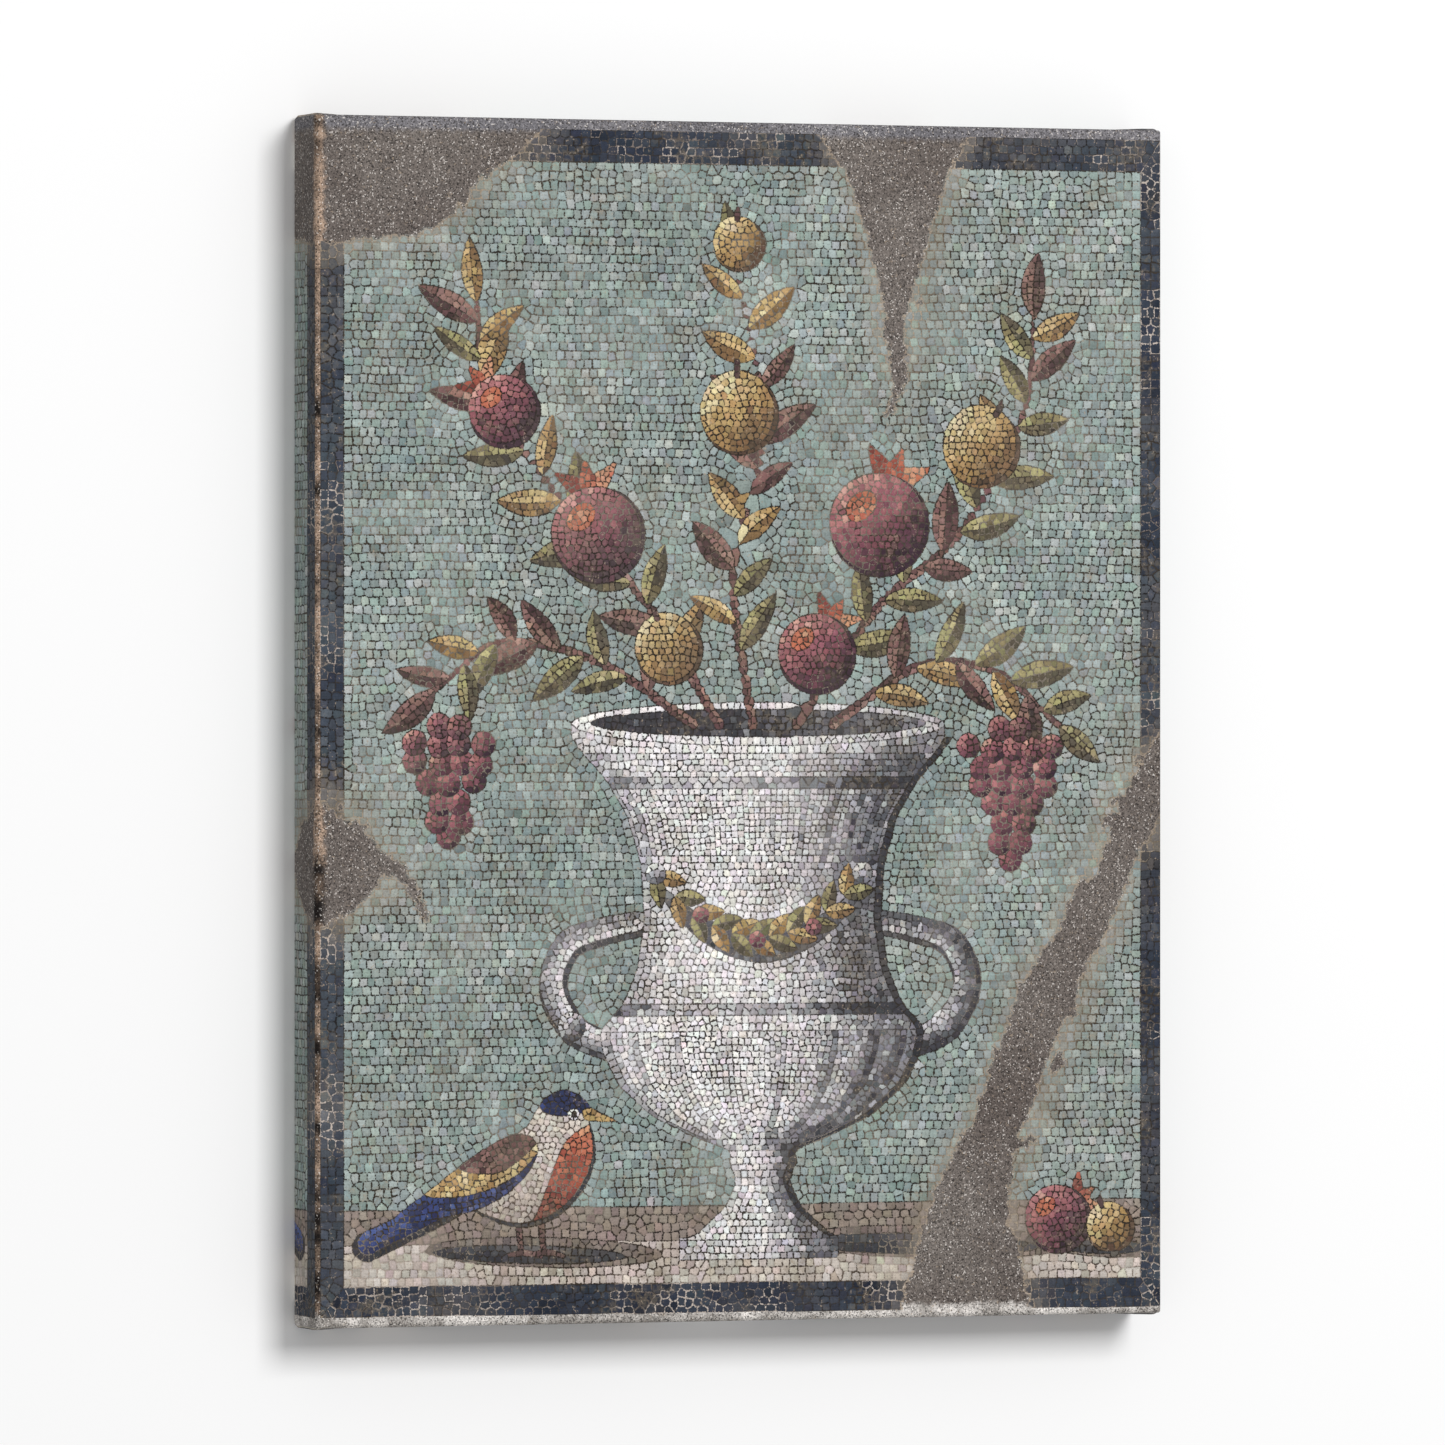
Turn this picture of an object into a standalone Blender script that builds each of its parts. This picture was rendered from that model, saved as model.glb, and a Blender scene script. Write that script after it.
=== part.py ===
"""A stretched canvas print: printed canvas wrapped round a mitred pine stretcher frame.

Metres, +Z up. The print faces -Y and the wall is behind it, at +Y. The origin is where the
picture hangs: on the flat underside of the top stretcher bar, at mid-width, where the nail
or hook in the wall carries it.
"""

import math

import bmesh
import bpy
from mathutils import Matrix, Vector

# Overall size of the stretched canvas, edge to edge over the cloth
PICTURE_WIDTH = 0.4572
PICTURE_HEIGHT = 0.6096
PICTURE_DEPTH = 0.0381

# Canvas cloth
CANVAS_THICKNESS = 0.00045
CANVAS_EDGE_RADIUS = 0.0027
CANVAS_EDGE_STEPS = 4
BACK_FLAP_WIDTH = 0.027
CANVAS_TO_BAR_GAP = 0.0003

# Stretcher bars: a pine moulding with a raised bead along its outer front edge
BAR_WIDTH = 0.034
BEAD_WIDTH = 0.005
BEAD_HEIGHT = 0.0022
FRONT_SLOPE_DROP = 0.0016
INNER_EDGE_RADIUS = 0.0025
INNER_EDGE_STEPS = 4
MITRE_GAP = 0.0003
SANDING_ALLOWANCE = 0.001

# The nail or hook bears on the top bar this far in front of the wall
HANGING_POINT_FROM_WALL = 0.012

# Places that follow from the sizes above
CANVAS_BUILD_UP = CANVAS_THICKNESS + CANVAS_TO_BAR_GAP
FRAME_WIDTH = PICTURE_WIDTH - 2 * CANVAS_BUILD_UP
FRAME_HEIGHT = PICTURE_HEIGHT - 2 * CANVAS_BUILD_UP
FRAME_DEPTH = PICTURE_DEPTH - 2 * CANVAS_BUILD_UP
FRAME_EDGE_RADIUS = CANVAS_EDGE_RADIUS - CANVAS_BUILD_UP
WALL_Y = HANGING_POINT_FROM_WALL
PICTURE_CENTRE = Vector((
    0.0,
    WALL_Y - PICTURE_DEPTH / 2,
    CANVAS_BUILD_UP + BAR_WIDTH - PICTURE_HEIGHT / 2,
))

CANVAS_COLOUR = (0.30, 0.34, 0.33, 1.0)
PINE_COLOUR = (0.71, 0.53, 0.33, 1.0)


def clear_scene():
    for obj in list(bpy.data.objects):
        bpy.data.objects.remove(obj, do_unlink=True)


def new_collection(name, hidden=False):
    collection = bpy.data.collections.new(name)
    collection.hide_render = hidden
    bpy.context.scene.collection.children.link(collection)
    return collection


def new_material(name, colour, roughness):
    material = bpy.data.materials.new(name)
    material.use_nodes = True
    shader = material.node_tree.nodes["Principled BSDF"]
    shader.inputs["Base Color"].default_value = colour
    shader.inputs["Roughness"].default_value = roughness
    shader.inputs["Metallic"].default_value = 0.0
    material.diffuse_color = colour
    return material


def new_object(name, bm, collection, material=None):
    """Turns a bmesh into a named object, with its faces pointing out."""
    bmesh.ops.recalc_face_normals(bm, faces=bm.faces)
    mesh = bpy.data.meshes.new(name)
    bm.to_mesh(mesh)
    bm.free()
    obj = bpy.data.objects.new(name, mesh)
    collection.objects.link(obj)
    if material:
        mesh.materials.append(material)
    return obj


def rounded_box(width, depth, height, radius, steps):
    """A box centred on its origin with every edge rounded, as a bmesh."""
    bm = bmesh.new()
    bmesh.ops.create_cube(bm, size=1.0)
    bmesh.ops.scale(bm, vec=(width, depth, height), verts=bm.verts)
    bmesh.ops.bevel(
        bm,
        geom=bm.edges[:],
        offset=radius,
        offset_type="OFFSET",
        segments=steps,
        profile=0.5,
        affect="EDGES",
    )
    return bm


def make_canvas(collection, material):
    """The cloth: front, four sides and the flaps turned over onto the back of the bars."""
    bm = rounded_box(
        PICTURE_WIDTH, PICTURE_DEPTH, PICTURE_HEIGHT, CANVAS_EDGE_RADIUS, CANVAS_EDGE_STEPS
    )
    back = max(bm.faces, key=lambda face: face.calc_center_median().y)
    bmesh.ops.inset_region(bm, faces=[back], thickness=BACK_FLAP_WIDTH - CANVAS_EDGE_RADIUS)
    opening = max(
        (face for face in bm.faces if face.normal.y > 0.99),
        key=lambda face: face.calc_area(),
    )
    bmesh.ops.delete(bm, geom=[opening], context="FACES")
    canvas = new_object("canvas", bm, collection, material)
    canvas.location = PICTURE_CENTRE
    thickness = canvas.modifiers.new("cloth thickness", "SOLIDIFY")
    thickness.thickness = CANVAS_THICKNESS
    thickness.offset = -1.0
    thickness.use_even_offset = True
    return canvas


def quarter_arc(centre, radius, start, steps):
    """Points of a quarter turn about centre, from the angle start, anticlockwise."""
    return [
        (
            centre[0] + radius * math.cos(start + math.pi / 2 * i / steps),
            centre[1] + radius * math.sin(start + math.pi / 2 * i / steps),
        )
        for i in range(steps + 1)
    ]


def bar_profile():
    """The moulding's section: (inset from the outer side, height above its back face).

    The outer side, the back and the bead's top stand proud by the sanding allowance.
    """
    inner = BAR_WIDTH
    shelf = FRAME_DEPTH - BEAD_HEIGHT
    inner_top = shelf - FRONT_SLOPE_DROP
    r = INNER_EDGE_RADIUS
    proud = SANDING_ALLOWANCE
    points = [(-proud, -proud), (inner - r, -proud)]
    points += quarter_arc((inner - r, r), r, -math.pi / 2, INNER_EDGE_STEPS)[1:]
    points += quarter_arc((inner - r, inner_top - r), r, 0.0, INNER_EDGE_STEPS)
    points += [
        (BEAD_WIDTH + BEAD_HEIGHT, shelf),
        (BEAD_WIDTH - proud, FRAME_DEPTH + proud),
        (-proud, FRAME_DEPTH + proud),
    ]
    return points


def make_envelope(collection):
    """The rounded block that the assembled frame is sanded to, used as a cutter."""
    bm = rounded_box(FRAME_WIDTH, FRAME_DEPTH, FRAME_HEIGHT, FRAME_EDGE_RADIUS, CANVAS_EDGE_STEPS)
    envelope = new_object("frame_envelope", bm, collection)
    envelope.location = PICTURE_CENTRE
    envelope.hide_render = True
    envelope.display_type = "WIRE"
    return envelope


def make_bar(name, length, outer_distance, turn, collection, material, envelope):
    """One mitred bar. It is built along X with its outer side up, then turned into place."""
    bm = bmesh.new()
    half_depth = FRAME_DEPTH / 2
    section = [
        bm.verts.new((0.0, half_depth - height, outer_distance - inset))
        for inset, height in bar_profile()
    ]
    face = bm.faces.new(section)
    made = bmesh.ops.extrude_face_region(bm, geom=[face])["geom"]
    far_end = [item for item in made if isinstance(item, bmesh.types.BMVert)]
    half_length = length / 2 - MITRE_GAP * math.sqrt(0.5)
    for side, verts in ((-1, section), (1, far_end)):
        for vert in verts:
            inset = outer_distance - vert.co.z
            vert.co.x = side * (half_length - inset)
    bar = new_object(name, bm, collection, material)
    bar.location = PICTURE_CENTRE
    bar.data.transform(Matrix.Rotation(turn, 4, "Y"))
    sanding = bar.modifiers.new("sanded outer edges", "BOOLEAN")
    sanding.operation = "INTERSECT"
    sanding.object = envelope
    sanding.solver = "EXACT"
    return bar


def main():
    clear_scene()
    parts = new_collection("stretched canvas print")
    cutters = new_collection("cutters", hidden=True)
    printed_canvas = new_material("printed canvas", CANVAS_COLOUR, 0.75)
    pine = new_material("pine", PINE_COLOUR, 0.6)

    make_canvas(parts, printed_canvas)
    envelope = make_envelope(cutters)
    bars = (
        ("stretcher_bar_top", FRAME_WIDTH, FRAME_HEIGHT / 2, 0.0),
        ("stretcher_bar_right", FRAME_HEIGHT, FRAME_WIDTH / 2, math.pi / 2),
        ("stretcher_bar_bottom", FRAME_WIDTH, FRAME_HEIGHT / 2, math.pi),
        ("stretcher_bar_left", FRAME_HEIGHT, FRAME_WIDTH / 2, -math.pi / 2),
    )
    for name, length, outer_distance, turn in bars:
        make_bar(name, length, outer_distance, turn, parts, pine, envelope)


main()
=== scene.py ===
"""The looks of a gallery-wrapped canvas print: pine stretcher bars, printed cloth and staples.

Metres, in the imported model's frame: the print faces -Y, the wall is behind it at +Y, and the
origin is on the underside of the top bar, where the picture hangs.
"""

import math

import bpy
import numpy as np
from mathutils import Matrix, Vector


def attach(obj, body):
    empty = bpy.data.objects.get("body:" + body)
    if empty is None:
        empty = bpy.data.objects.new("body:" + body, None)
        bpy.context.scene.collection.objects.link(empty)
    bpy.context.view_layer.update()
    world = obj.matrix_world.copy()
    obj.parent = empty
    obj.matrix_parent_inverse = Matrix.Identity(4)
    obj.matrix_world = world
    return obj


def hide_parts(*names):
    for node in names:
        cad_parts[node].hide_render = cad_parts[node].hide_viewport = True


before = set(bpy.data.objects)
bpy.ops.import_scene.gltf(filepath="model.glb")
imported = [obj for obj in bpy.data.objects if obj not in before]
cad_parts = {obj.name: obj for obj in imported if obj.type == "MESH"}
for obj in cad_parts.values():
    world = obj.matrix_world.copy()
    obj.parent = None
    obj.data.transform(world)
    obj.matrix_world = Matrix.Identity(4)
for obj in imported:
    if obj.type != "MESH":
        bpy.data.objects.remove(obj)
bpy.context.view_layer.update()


# The stretcher frame: four planed pine bars, mitred, glued and nailed at the corners. They are
# the CAD nodes themselves; here they get bare pine with its grain along each bar.


class Wire:
    """A node's output in a material. Sums written on it in Python add the Math nodes."""

    def __init__(self, recipe, socket):
        self.recipe, self.socket = recipe, socket

    def math(self, operation, *values):
        return self.recipe.node("ShaderNodeMath", {"operation": operation}, dict(enumerate(values)))

    def __add__(self, other):
        return self.math("ADD", self, other)

    def __radd__(self, other):
        return self.math("ADD", other, self)

    def __sub__(self, other):
        return self.math("SUBTRACT", self, other)

    def __rsub__(self, other):
        return self.math("SUBTRACT", other, self)

    def __mul__(self, other):
        return self.math("MULTIPLY", self, other)

    def __rmul__(self, other):
        return self.math("MULTIPLY", other, self)

    def __pow__(self, other):
        return self.math("POWER", self, other)

    def sine(self):
        return self.math("SINE", self)

    def size(self):
        return self.math("ABSOLUTE", self)

    def step(self, low, high):
        """0 below low, 1 above high and eased between."""
        settings = {"interpolation_type": "SMOOTHSTEP", "clamp": True}
        return self.recipe.node("ShaderNodeMapRange", settings, {0: self, 1: low, 2: high, 3: 0.0, 4: 1.0})


class Recipe:
    """One material's nodes, ending in a Principled shader."""

    def __init__(self, name):
        self.material = bpy.data.materials.new(name)
        self.material.use_nodes = True
        self.tree = self.material.node_tree
        self.shader = self.tree.nodes["Principled BSDF"]

    def feed(self, socket, value):
        if isinstance(value, Wire):
            self.tree.links.new(value.socket, socket)
        else:
            socket.default_value = value

    def node(self, kind, settings=None, sockets=None, output=0):
        """Adds a node with its settings, then its sockets' values or links, by name or number."""
        node = self.tree.nodes.new(kind)
        for key, value in (settings or {}).items():
            setattr(node, key, value)
        for key, value in (sockets or {}).items():
            self.feed(node.inputs[key], value)
        return Wire(self, node.outputs[output])

    def place(self, scale, shift=(0, 0, 0)):
        """Object coordinates, scaled and shifted."""
        found = self.node("ShaderNodeTexCoord", output="Object")
        return self.node("ShaderNodeMapping", None, {"Vector": found, "Scale": scale, "Location": shift})

    def noise(self, where, scale, detail=2.0, rough=0.5, warp=0.0):
        sockets = {"Vector": where, "Scale": scale, "Detail": detail, "Roughness": rough}
        return self.node("ShaderNodeTexNoise", None, sockets | {"Distortion": warp})

    def blend(self, share, first, second):
        """Two colours mixed: the first where share is 0 and the second where it is 1."""
        return self.node("ShaderNodeMix", {"data_type": "RGBA"}, {0: share, 6: first, 7: second}, output=2)

    def shaded(self, colour, factor):
        """A colour made lighter or darker by the factor."""
        return self.node("ShaderNodeVectorMath", {"operation": "SCALE"}, {0: colour, "Scale": factor})

    def finish(self, colour, roughness, height=None, depth=0.0, **uniform):
        self.feed(self.shader.inputs["Base Color"], colour)
        self.feed(self.shader.inputs["Roughness"], roughness)
        if height is not None:
            bump = self.node("ShaderNodeBump", None, {"Height": height, "Distance": depth, "Strength": 1.0})
            self.feed(self.shader.inputs["Normal"], bump)
        for key, value in uniform.items():
            self.shader.inputs[key.replace("_", " ")].default_value = value
        return self.material


def srgb(red, green, blue):
    """A colour given as 0 to 255 on the screen, as the linear colour that a shader takes."""
    share = np.array([red, green, blue]) / 255
    linear = np.where(share <= 0.04045, share / 12.92, ((share + 0.055) / 1.055) ** 2.4)
    return (*linear.tolist(), 1.0)


def pine(name, along, seed):
    """Planed pine: growth lines drawn out along the bar, paler early wood, fine pores and a few streaks."""
    recipe = Recipe(name)
    stretch = [34.0, 34.0, 34.0]
    stretch[along] = 1.3
    shift = (seed * 3.1, seed * 1.7, seed * 2.3)
    where = recipe.place(stretch, shift=shift)
    growth = recipe.noise(where, 1.0, 2.0, 0.45, 0.6)
    lines = ((growth * 34.0).sine() * 0.5 + 0.5) ** 1.6
    broad = recipe.noise(recipe.place([s * 0.4 for s in stretch], shift=shift), 1.0, 1.0)
    pores = recipe.noise(recipe.place([s * 26.0 for s in stretch], shift=shift), 1.0, 3.0, 0.7)
    sawn = recipe.blend(lines * 0.62, srgb(224, 192, 146), srgb(186, 139, 88))
    sawn = recipe.blend(broad.step(0.35, 0.7) * 0.35, sawn, srgb(206, 160, 112))
    sawn = recipe.blend(pores.step(0.55, 0.8) * 0.3, sawn, srgb(150, 108, 68))
    rough = 0.56 + pores * 0.14
    return recipe.finish(sawn, rough, lines * 0.5 + pores * 0.5, 0.00012)


# Each bar with the axis that its grain follows
BARS = {"top": 0, "right": 2, "bottom": 0, "left": 2}
for seed, (bar, along) in enumerate(BARS.items(), 1):
    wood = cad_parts["stretcher_bar_" + bar]
    wood.data.materials.clear()
    wood.data.materials.append(pine("pine " + bar, along, seed))


# The printed cloth: one piece of cotton canvas, 0.45 mm thick, printed on its face, wrapped
# round the bars with its corners folded in, and stapled on the back. The print is an aged
# mosaic still life, made up for this part. It ends in a mirror image that runs round the sides.

WIDTH, HEIGHT, DEPTH = 0.4572, 0.6096, 0.0381
CLOTH = 0.00045
FOLD_RADIUS = 0.0027
FLAP = 0.027
FRONT_Y = -0.0261
BACK_Y = FRONT_Y + DEPTH
MIDDLE_Z = -0.27005
ARC = math.pi / 2 * FOLD_RADIUS
HALF = np.array([WIDTH, HEIGHT]) / 2 - FOLD_RADIUS
SIDE_STARTS = ARC
SIDE_ENDS = ARC + DEPTH - 2 * FOLD_RADIUS
BACK_STARTS = SIDE_ENDS + ARC
CLOTH_ENDS = BACK_STARTS + FLAP - FOLD_RADIUS
PRINT_ENDS = BACK_STARTS + 0.010
MIRROR = HALF + ARC / 2

# The drawing under the stones is in millimetres, from the picture's lower left corner, on a grid of
# points about 0.4 mm apart
PICTURE = MIRROR * 2000
GRID = np.round(PICTURE / 0.4).astype(int)
GRID_STEP = PICTURE / GRID

TEAL, BORDER, MARBLE, WOOD, OCHRE, WINE, RUST, BLUE, SAND, PINK, SHADE, LEAF, MORTAR = range(13)
# The shades of each family of stones, from light to dark
STONES = {
    TEAL: (
        (180, 188, 183), (164, 175, 171), (150, 163, 159), (139, 153, 150), (126, 141, 139), (112, 126, 123),
    ),
    BORDER: ((100, 104, 108), (82, 88, 95), (66, 73, 83), (54, 61, 73), (43, 50, 64), (32, 38, 51)),
    MARBLE: (
        (240, 237, 236), (226, 223, 223), (205, 202, 203), (172, 170, 173), (130, 129, 134), (92, 92, 97),
        (64, 63, 68),
    ),
    WOOD: ((176, 140, 128), (146, 112, 104), (122, 90, 86), (98, 72, 71), (76, 55, 56), (56, 43, 46)),
    OCHRE: ((224, 208, 166), (206, 180, 130), (184, 153, 104), (158, 127, 84), (126, 98, 68), (90, 70, 56)),
    WINE: ((206, 158, 146), (172, 116, 116), (144, 92, 98), (118, 74, 84), (92, 60, 70), (62, 44, 54)),
    RUST: ((206, 150, 120), (186, 112, 88), (160, 86, 70), (132, 68, 60), (98, 54, 52), (66, 44, 46)),
    BLUE: ((150, 160, 186), (108, 122, 166), (78, 94, 146), (60, 72, 118), (48, 54, 86), (42, 44, 62)),
    SAND: (
        (214, 205, 196), (202, 192, 183), (190, 180, 170), (176, 165, 155), (158, 147, 138), (136, 127, 120),
    ),
    PINK: (
        (172, 159, 149), (158, 144, 135), (146, 132, 123), (134, 121, 113), (120, 108, 102), (104, 95, 91),
    ),
    SHADE: ((104, 100, 98), (88, 86, 87), (74, 74, 77), (64, 64, 68), (56, 56, 61), (48, 48, 54)),
    LEAF: ((196, 186, 140), (164, 156, 112), (134, 126, 90), (108, 100, 76), (84, 78, 64), (62, 58, 54)),
    MORTAR: ((150, 145, 140), (130, 124, 120)),
}


def linear(shade):
    """A shade as the three linear numbers that stones and mortar are mixed in."""
    return np.array(srgb(*shade)[:3])


def soft_noise(x, y, size, seed):
    """Smooth random numbers from 0 to 1: random values on a lattice of that size, eased between."""
    table = np.random.default_rng(seed).random((64, 64))
    u, v = x / size, y / size
    i, j = np.floor(u).astype(int), np.floor(v).astype(int)
    fu, fv = u - i, v - j
    fu, fv = fu * fu * (3 - 2 * fu), fv * fv * (3 - 2 * fv)
    low = table[j % 64, i % 64] * (1 - fu) + table[j % 64, (i + 1) % 64] * fu
    high = table[(j + 1) % 64, i % 64] * (1 - fu) + table[(j + 1) % 64, (i + 1) % 64] * fu
    return low * (1 - fv) + high * fv


def through(points, count, closed=False):
    """A smooth curve through the points, count steps to each: a cubic between every two of them, whose
    slope at a point is half the step from the point before it to the one after it."""
    p = np.array(points, float)
    if closed:
        p = np.concatenate([p[-1:], p, p[:2]])
    else:
        p = np.concatenate([2 * p[:1] - p[1:2], p, 2 * p[-1:] - p[-2:-1]])
    t = np.linspace(0, 1, count, endpoint=False)[None, :, None]
    a, b, c, d = p[:-3, None], p[1:-2, None], p[2:-1, None], p[3:, None]
    curve = b + 0.5 * ((c - a) * t + (2 * a - 5 * b + 4 * c - d) * t**2 + (3 * b - a - 3 * c + d) * t**3)
    curve = curve.reshape(-1, p.shape[1])
    return curve if closed else np.concatenate([curve, p[-2:-1]])


def lit(u, v, low=0.1, high=0.9, turn=130):
    """The tone of a round thing, 0 light to 1 dark: light on the side that faces the turn."""
    toward = u * math.cos(math.radians(turn)) + v * math.sin(math.radians(turn))
    return low + (high - low) * (0.5 - 0.5 * np.clip(1.25 * toward - 0.25 * (u * u + v * v) + 0.1, -1, 1))


class Drawing:
    """The full-size drawing: each grid point's shape, stone family, tone and stone size."""

    def __init__(self):
        size = GRID[1], GRID[0]
        self.shape = np.zeros(size, np.int32)
        self.family = np.zeros(size, np.int8)
        self.tone = np.zeros(size, np.float32)
        self.pitch = np.zeros(size, np.float32)
        self.shapes = 0

    def window(self, x, y, margin=0.0):
        """The part of the drawing round these points, with its grid's x and y."""
        ends = [((np.min(k) - margin) / s, (np.max(k) + margin) / s + 1) for k, s in zip((x, y), GRID_STEP)]
        i, j = (np.clip(e, 0, n).astype(int) for e, n in zip(ends, GRID))
        grid = np.meshgrid((np.arange(*i) + 0.5) * GRID_STEP[0], (np.arange(*j) + 0.5) * GRID_STEP[1])
        return (slice(*j), slice(*i)), grid[0], grid[1]

    def lay(self, part, inside, family, tone, pitch=3.5):
        self.shapes += 1
        self.shape[part][inside] = self.shapes
        self.family[part][inside] = family
        self.tone[part][inside] = np.clip(np.broadcast_to(tone, inside.shape)[inside], 0, 1)
        self.pitch[part][inside] = pitch

    def oval(self, centre, radii, family, tone, pitch=3.5, turn=0.0):
        """An oval. Its tone is a number or a function of its own coordinates from -1 to 1."""
        part, x, y = self.window(centre[0], centre[1], max(radii) + 1)
        c, s = math.cos(math.radians(turn)), math.sin(math.radians(turn))
        u = ((x - centre[0]) * c + (y - centre[1]) * s) / radii[0]
        v = ((y - centre[1]) * c - (x - centre[0]) * s) / radii[1]
        self.lay(part, u * u + v * v < 1, family, tone(u, v) if callable(tone) else tone, pitch)

    def outline(self, points, family, tone, pitch=3.5, on=None):
        """A smooth closed outline, filled where a line to the left crosses it an odd number of times,
        or only that part of it that lies on the shape of a given number."""
        loop = through(points, 8, closed=True)
        part, x, y = self.window(loop[:, 0], loop[:, 1], 1)
        (ax, ay), (bx, by) = loop.T[..., None], np.roll(loop, -1, 0).T[..., None]
        level = y.ravel()[None]
        slope = (bx - ax) / np.where(by == ay, 1e-9, by - ay)
        crossed = ((ay > level) != (by > level)) & (x.ravel()[None] < ax + slope * (level - ay))
        inside = (crossed.sum(0) % 2 == 1).reshape(x.shape)
        if on:
            inside &= self.shape[part] == on
        self.lay(part, inside, family, tone(x, y) if callable(tone) else tone, pitch)

    def stroke(self, points, widths, family, tone, pitch=3.2):
        """A smooth stroke of that half width along its length: all that is nearer its line than that."""
        line = through(points, 14)
        along = np.linspace(0, 1, len(line))
        half = np.interp(along, np.linspace(0, 1, len(widths)), widths)
        part, x, y = self.window(line[:, 0], line[:, 1], max(widths) + 1)
        dx, dy = x.ravel()[:, None] - line[:, 0], y.ravel()[:, None] - line[:, 1]
        away = np.hypot(dx, dy)
        near = away.argmin(1)
        row = np.arange(len(near))
        tangent = np.gradient(line, axis=0)
        tangent /= np.linalg.norm(tangent, axis=1)[:, None] + 1e-9
        across = (tangent[near, 0] * dy[row, near] - tangent[near, 1] * dx[row, near]) / half[near]
        inside = (away[row, near] < half[near]).reshape(x.shape)
        if callable(tone):
            tone = tone(along[near].reshape(x.shape), across.reshape(x.shape))
        self.lay(part, inside, family, tone, pitch)


def leaf(d, foot, length, turn, family, width, bend):
    """A leaf in two halves that meet on its midrib, one lit and one in shade."""
    part, x, y = d.window(foot[0], foot[1], length * 1.05)
    c, s = math.cos(math.radians(turn)), math.sin(math.radians(turn))
    u = ((x - foot[0]) * c + (y - foot[1]) * s) / length
    v = ((y - foot[1]) * c - (x - foot[0]) * s) / length - bend * u * (1 - u) * 4
    half = width / 2 * np.clip(np.sin(np.pi * np.clip(u, 0, 1) ** 0.85), 0, None) ** 0.8
    lit_side = 1 if math.cos(math.radians(turn - 40)) > 0 else -1
    for side in (1, -1):
        inside = (u > 0) & (u < 1) & (np.abs(v) < half) & (v * side >= 0)
        d.lay(part, inside, family, (0.18 if side == lit_side else 0.62) + 0.2 * u, 3.3)


def towards(centre, radius, turn):
    """The point at that radius from the centre, in the direction of the turn."""
    turn = math.radians(turn)
    return centre[0] + radius * math.cos(turn), centre[1] + radius * math.sin(turn)


def pomegranate(d, centre, radius, turn):
    """A round wine-red fruit with a dark rim, a glow on its lit side and a crown of three points."""
    for spread in (-26, 26, 0):
        ends = [towards(centre, radius * 0.8, turn), towards(centre, radius * 1.5, turn + spread)]
        d.stroke(ends, [radius * 0.16, radius * 0.2, radius * 0.05], RUST, 0.3 + 0.01 * spread, 3.0)
    d.oval((centre[0] + 1.4, centre[1] - 1.6), (radius + 1.2, radius + 0.6), WINE, 1.0, 3.2)
    d.oval(centre, (radius, radius * 0.96), WINE, lambda u, v: lit(u, v, 0.08, 0.9), 3.4)
    glow = towards(centre, radius * 0.46, 137)
    d.oval(glow, (radius * 0.36, radius * 0.26), RUST, lambda u, v: 0.1 + 0.2 * (u * u + v * v), 3.2, 40)


def quince(d, centre, radius, turn):
    """A round ochre fruit with a dark rim and a short brown stalk."""
    d.oval((centre[0] + 1.4, centre[1] - 1.6), (radius + 1.2, radius + 0.8), OCHRE, 1.0, 3.2)
    d.oval(
        centre, (radius, radius * 1.04), OCHRE, lambda u, v: lit(u, v, 0.0, 0.85, 220 - turn), 3.4, turn - 90
    )
    stalk = [towards(centre, radius * share, turn) for share in (0.9, 1.25)]
    d.stroke(stalk, [1.6, 1.6], WOOD, 0.8, 3.0)


def grapes(d, top, length, seed):
    """A hanging bunch: rows of round berries, fewer to a row lower down, the lowest laid first."""
    rng = np.random.default_rng(seed)
    rows = int(length / 9.5)
    for k in range(rows - 1, -1, -1):
        across = max(1, round((rows - k) * 0.62 + 0.6)) if k else 2
        for m in range(across):
            x = top[0] + (m - (across - 1) / 2) * 11.5 + rng.uniform(-1.5, 1.5)
            y = top[1] - k * 9.5 + rng.uniform(-1.2, 1.2)
            shade = rng.uniform(-0.08, 0.12)
            d.oval((x, y), (6.6, 6.6), WINE, lambda u, v: lit(u, v, 0.1 + shade, 0.95), 3.1)


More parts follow.
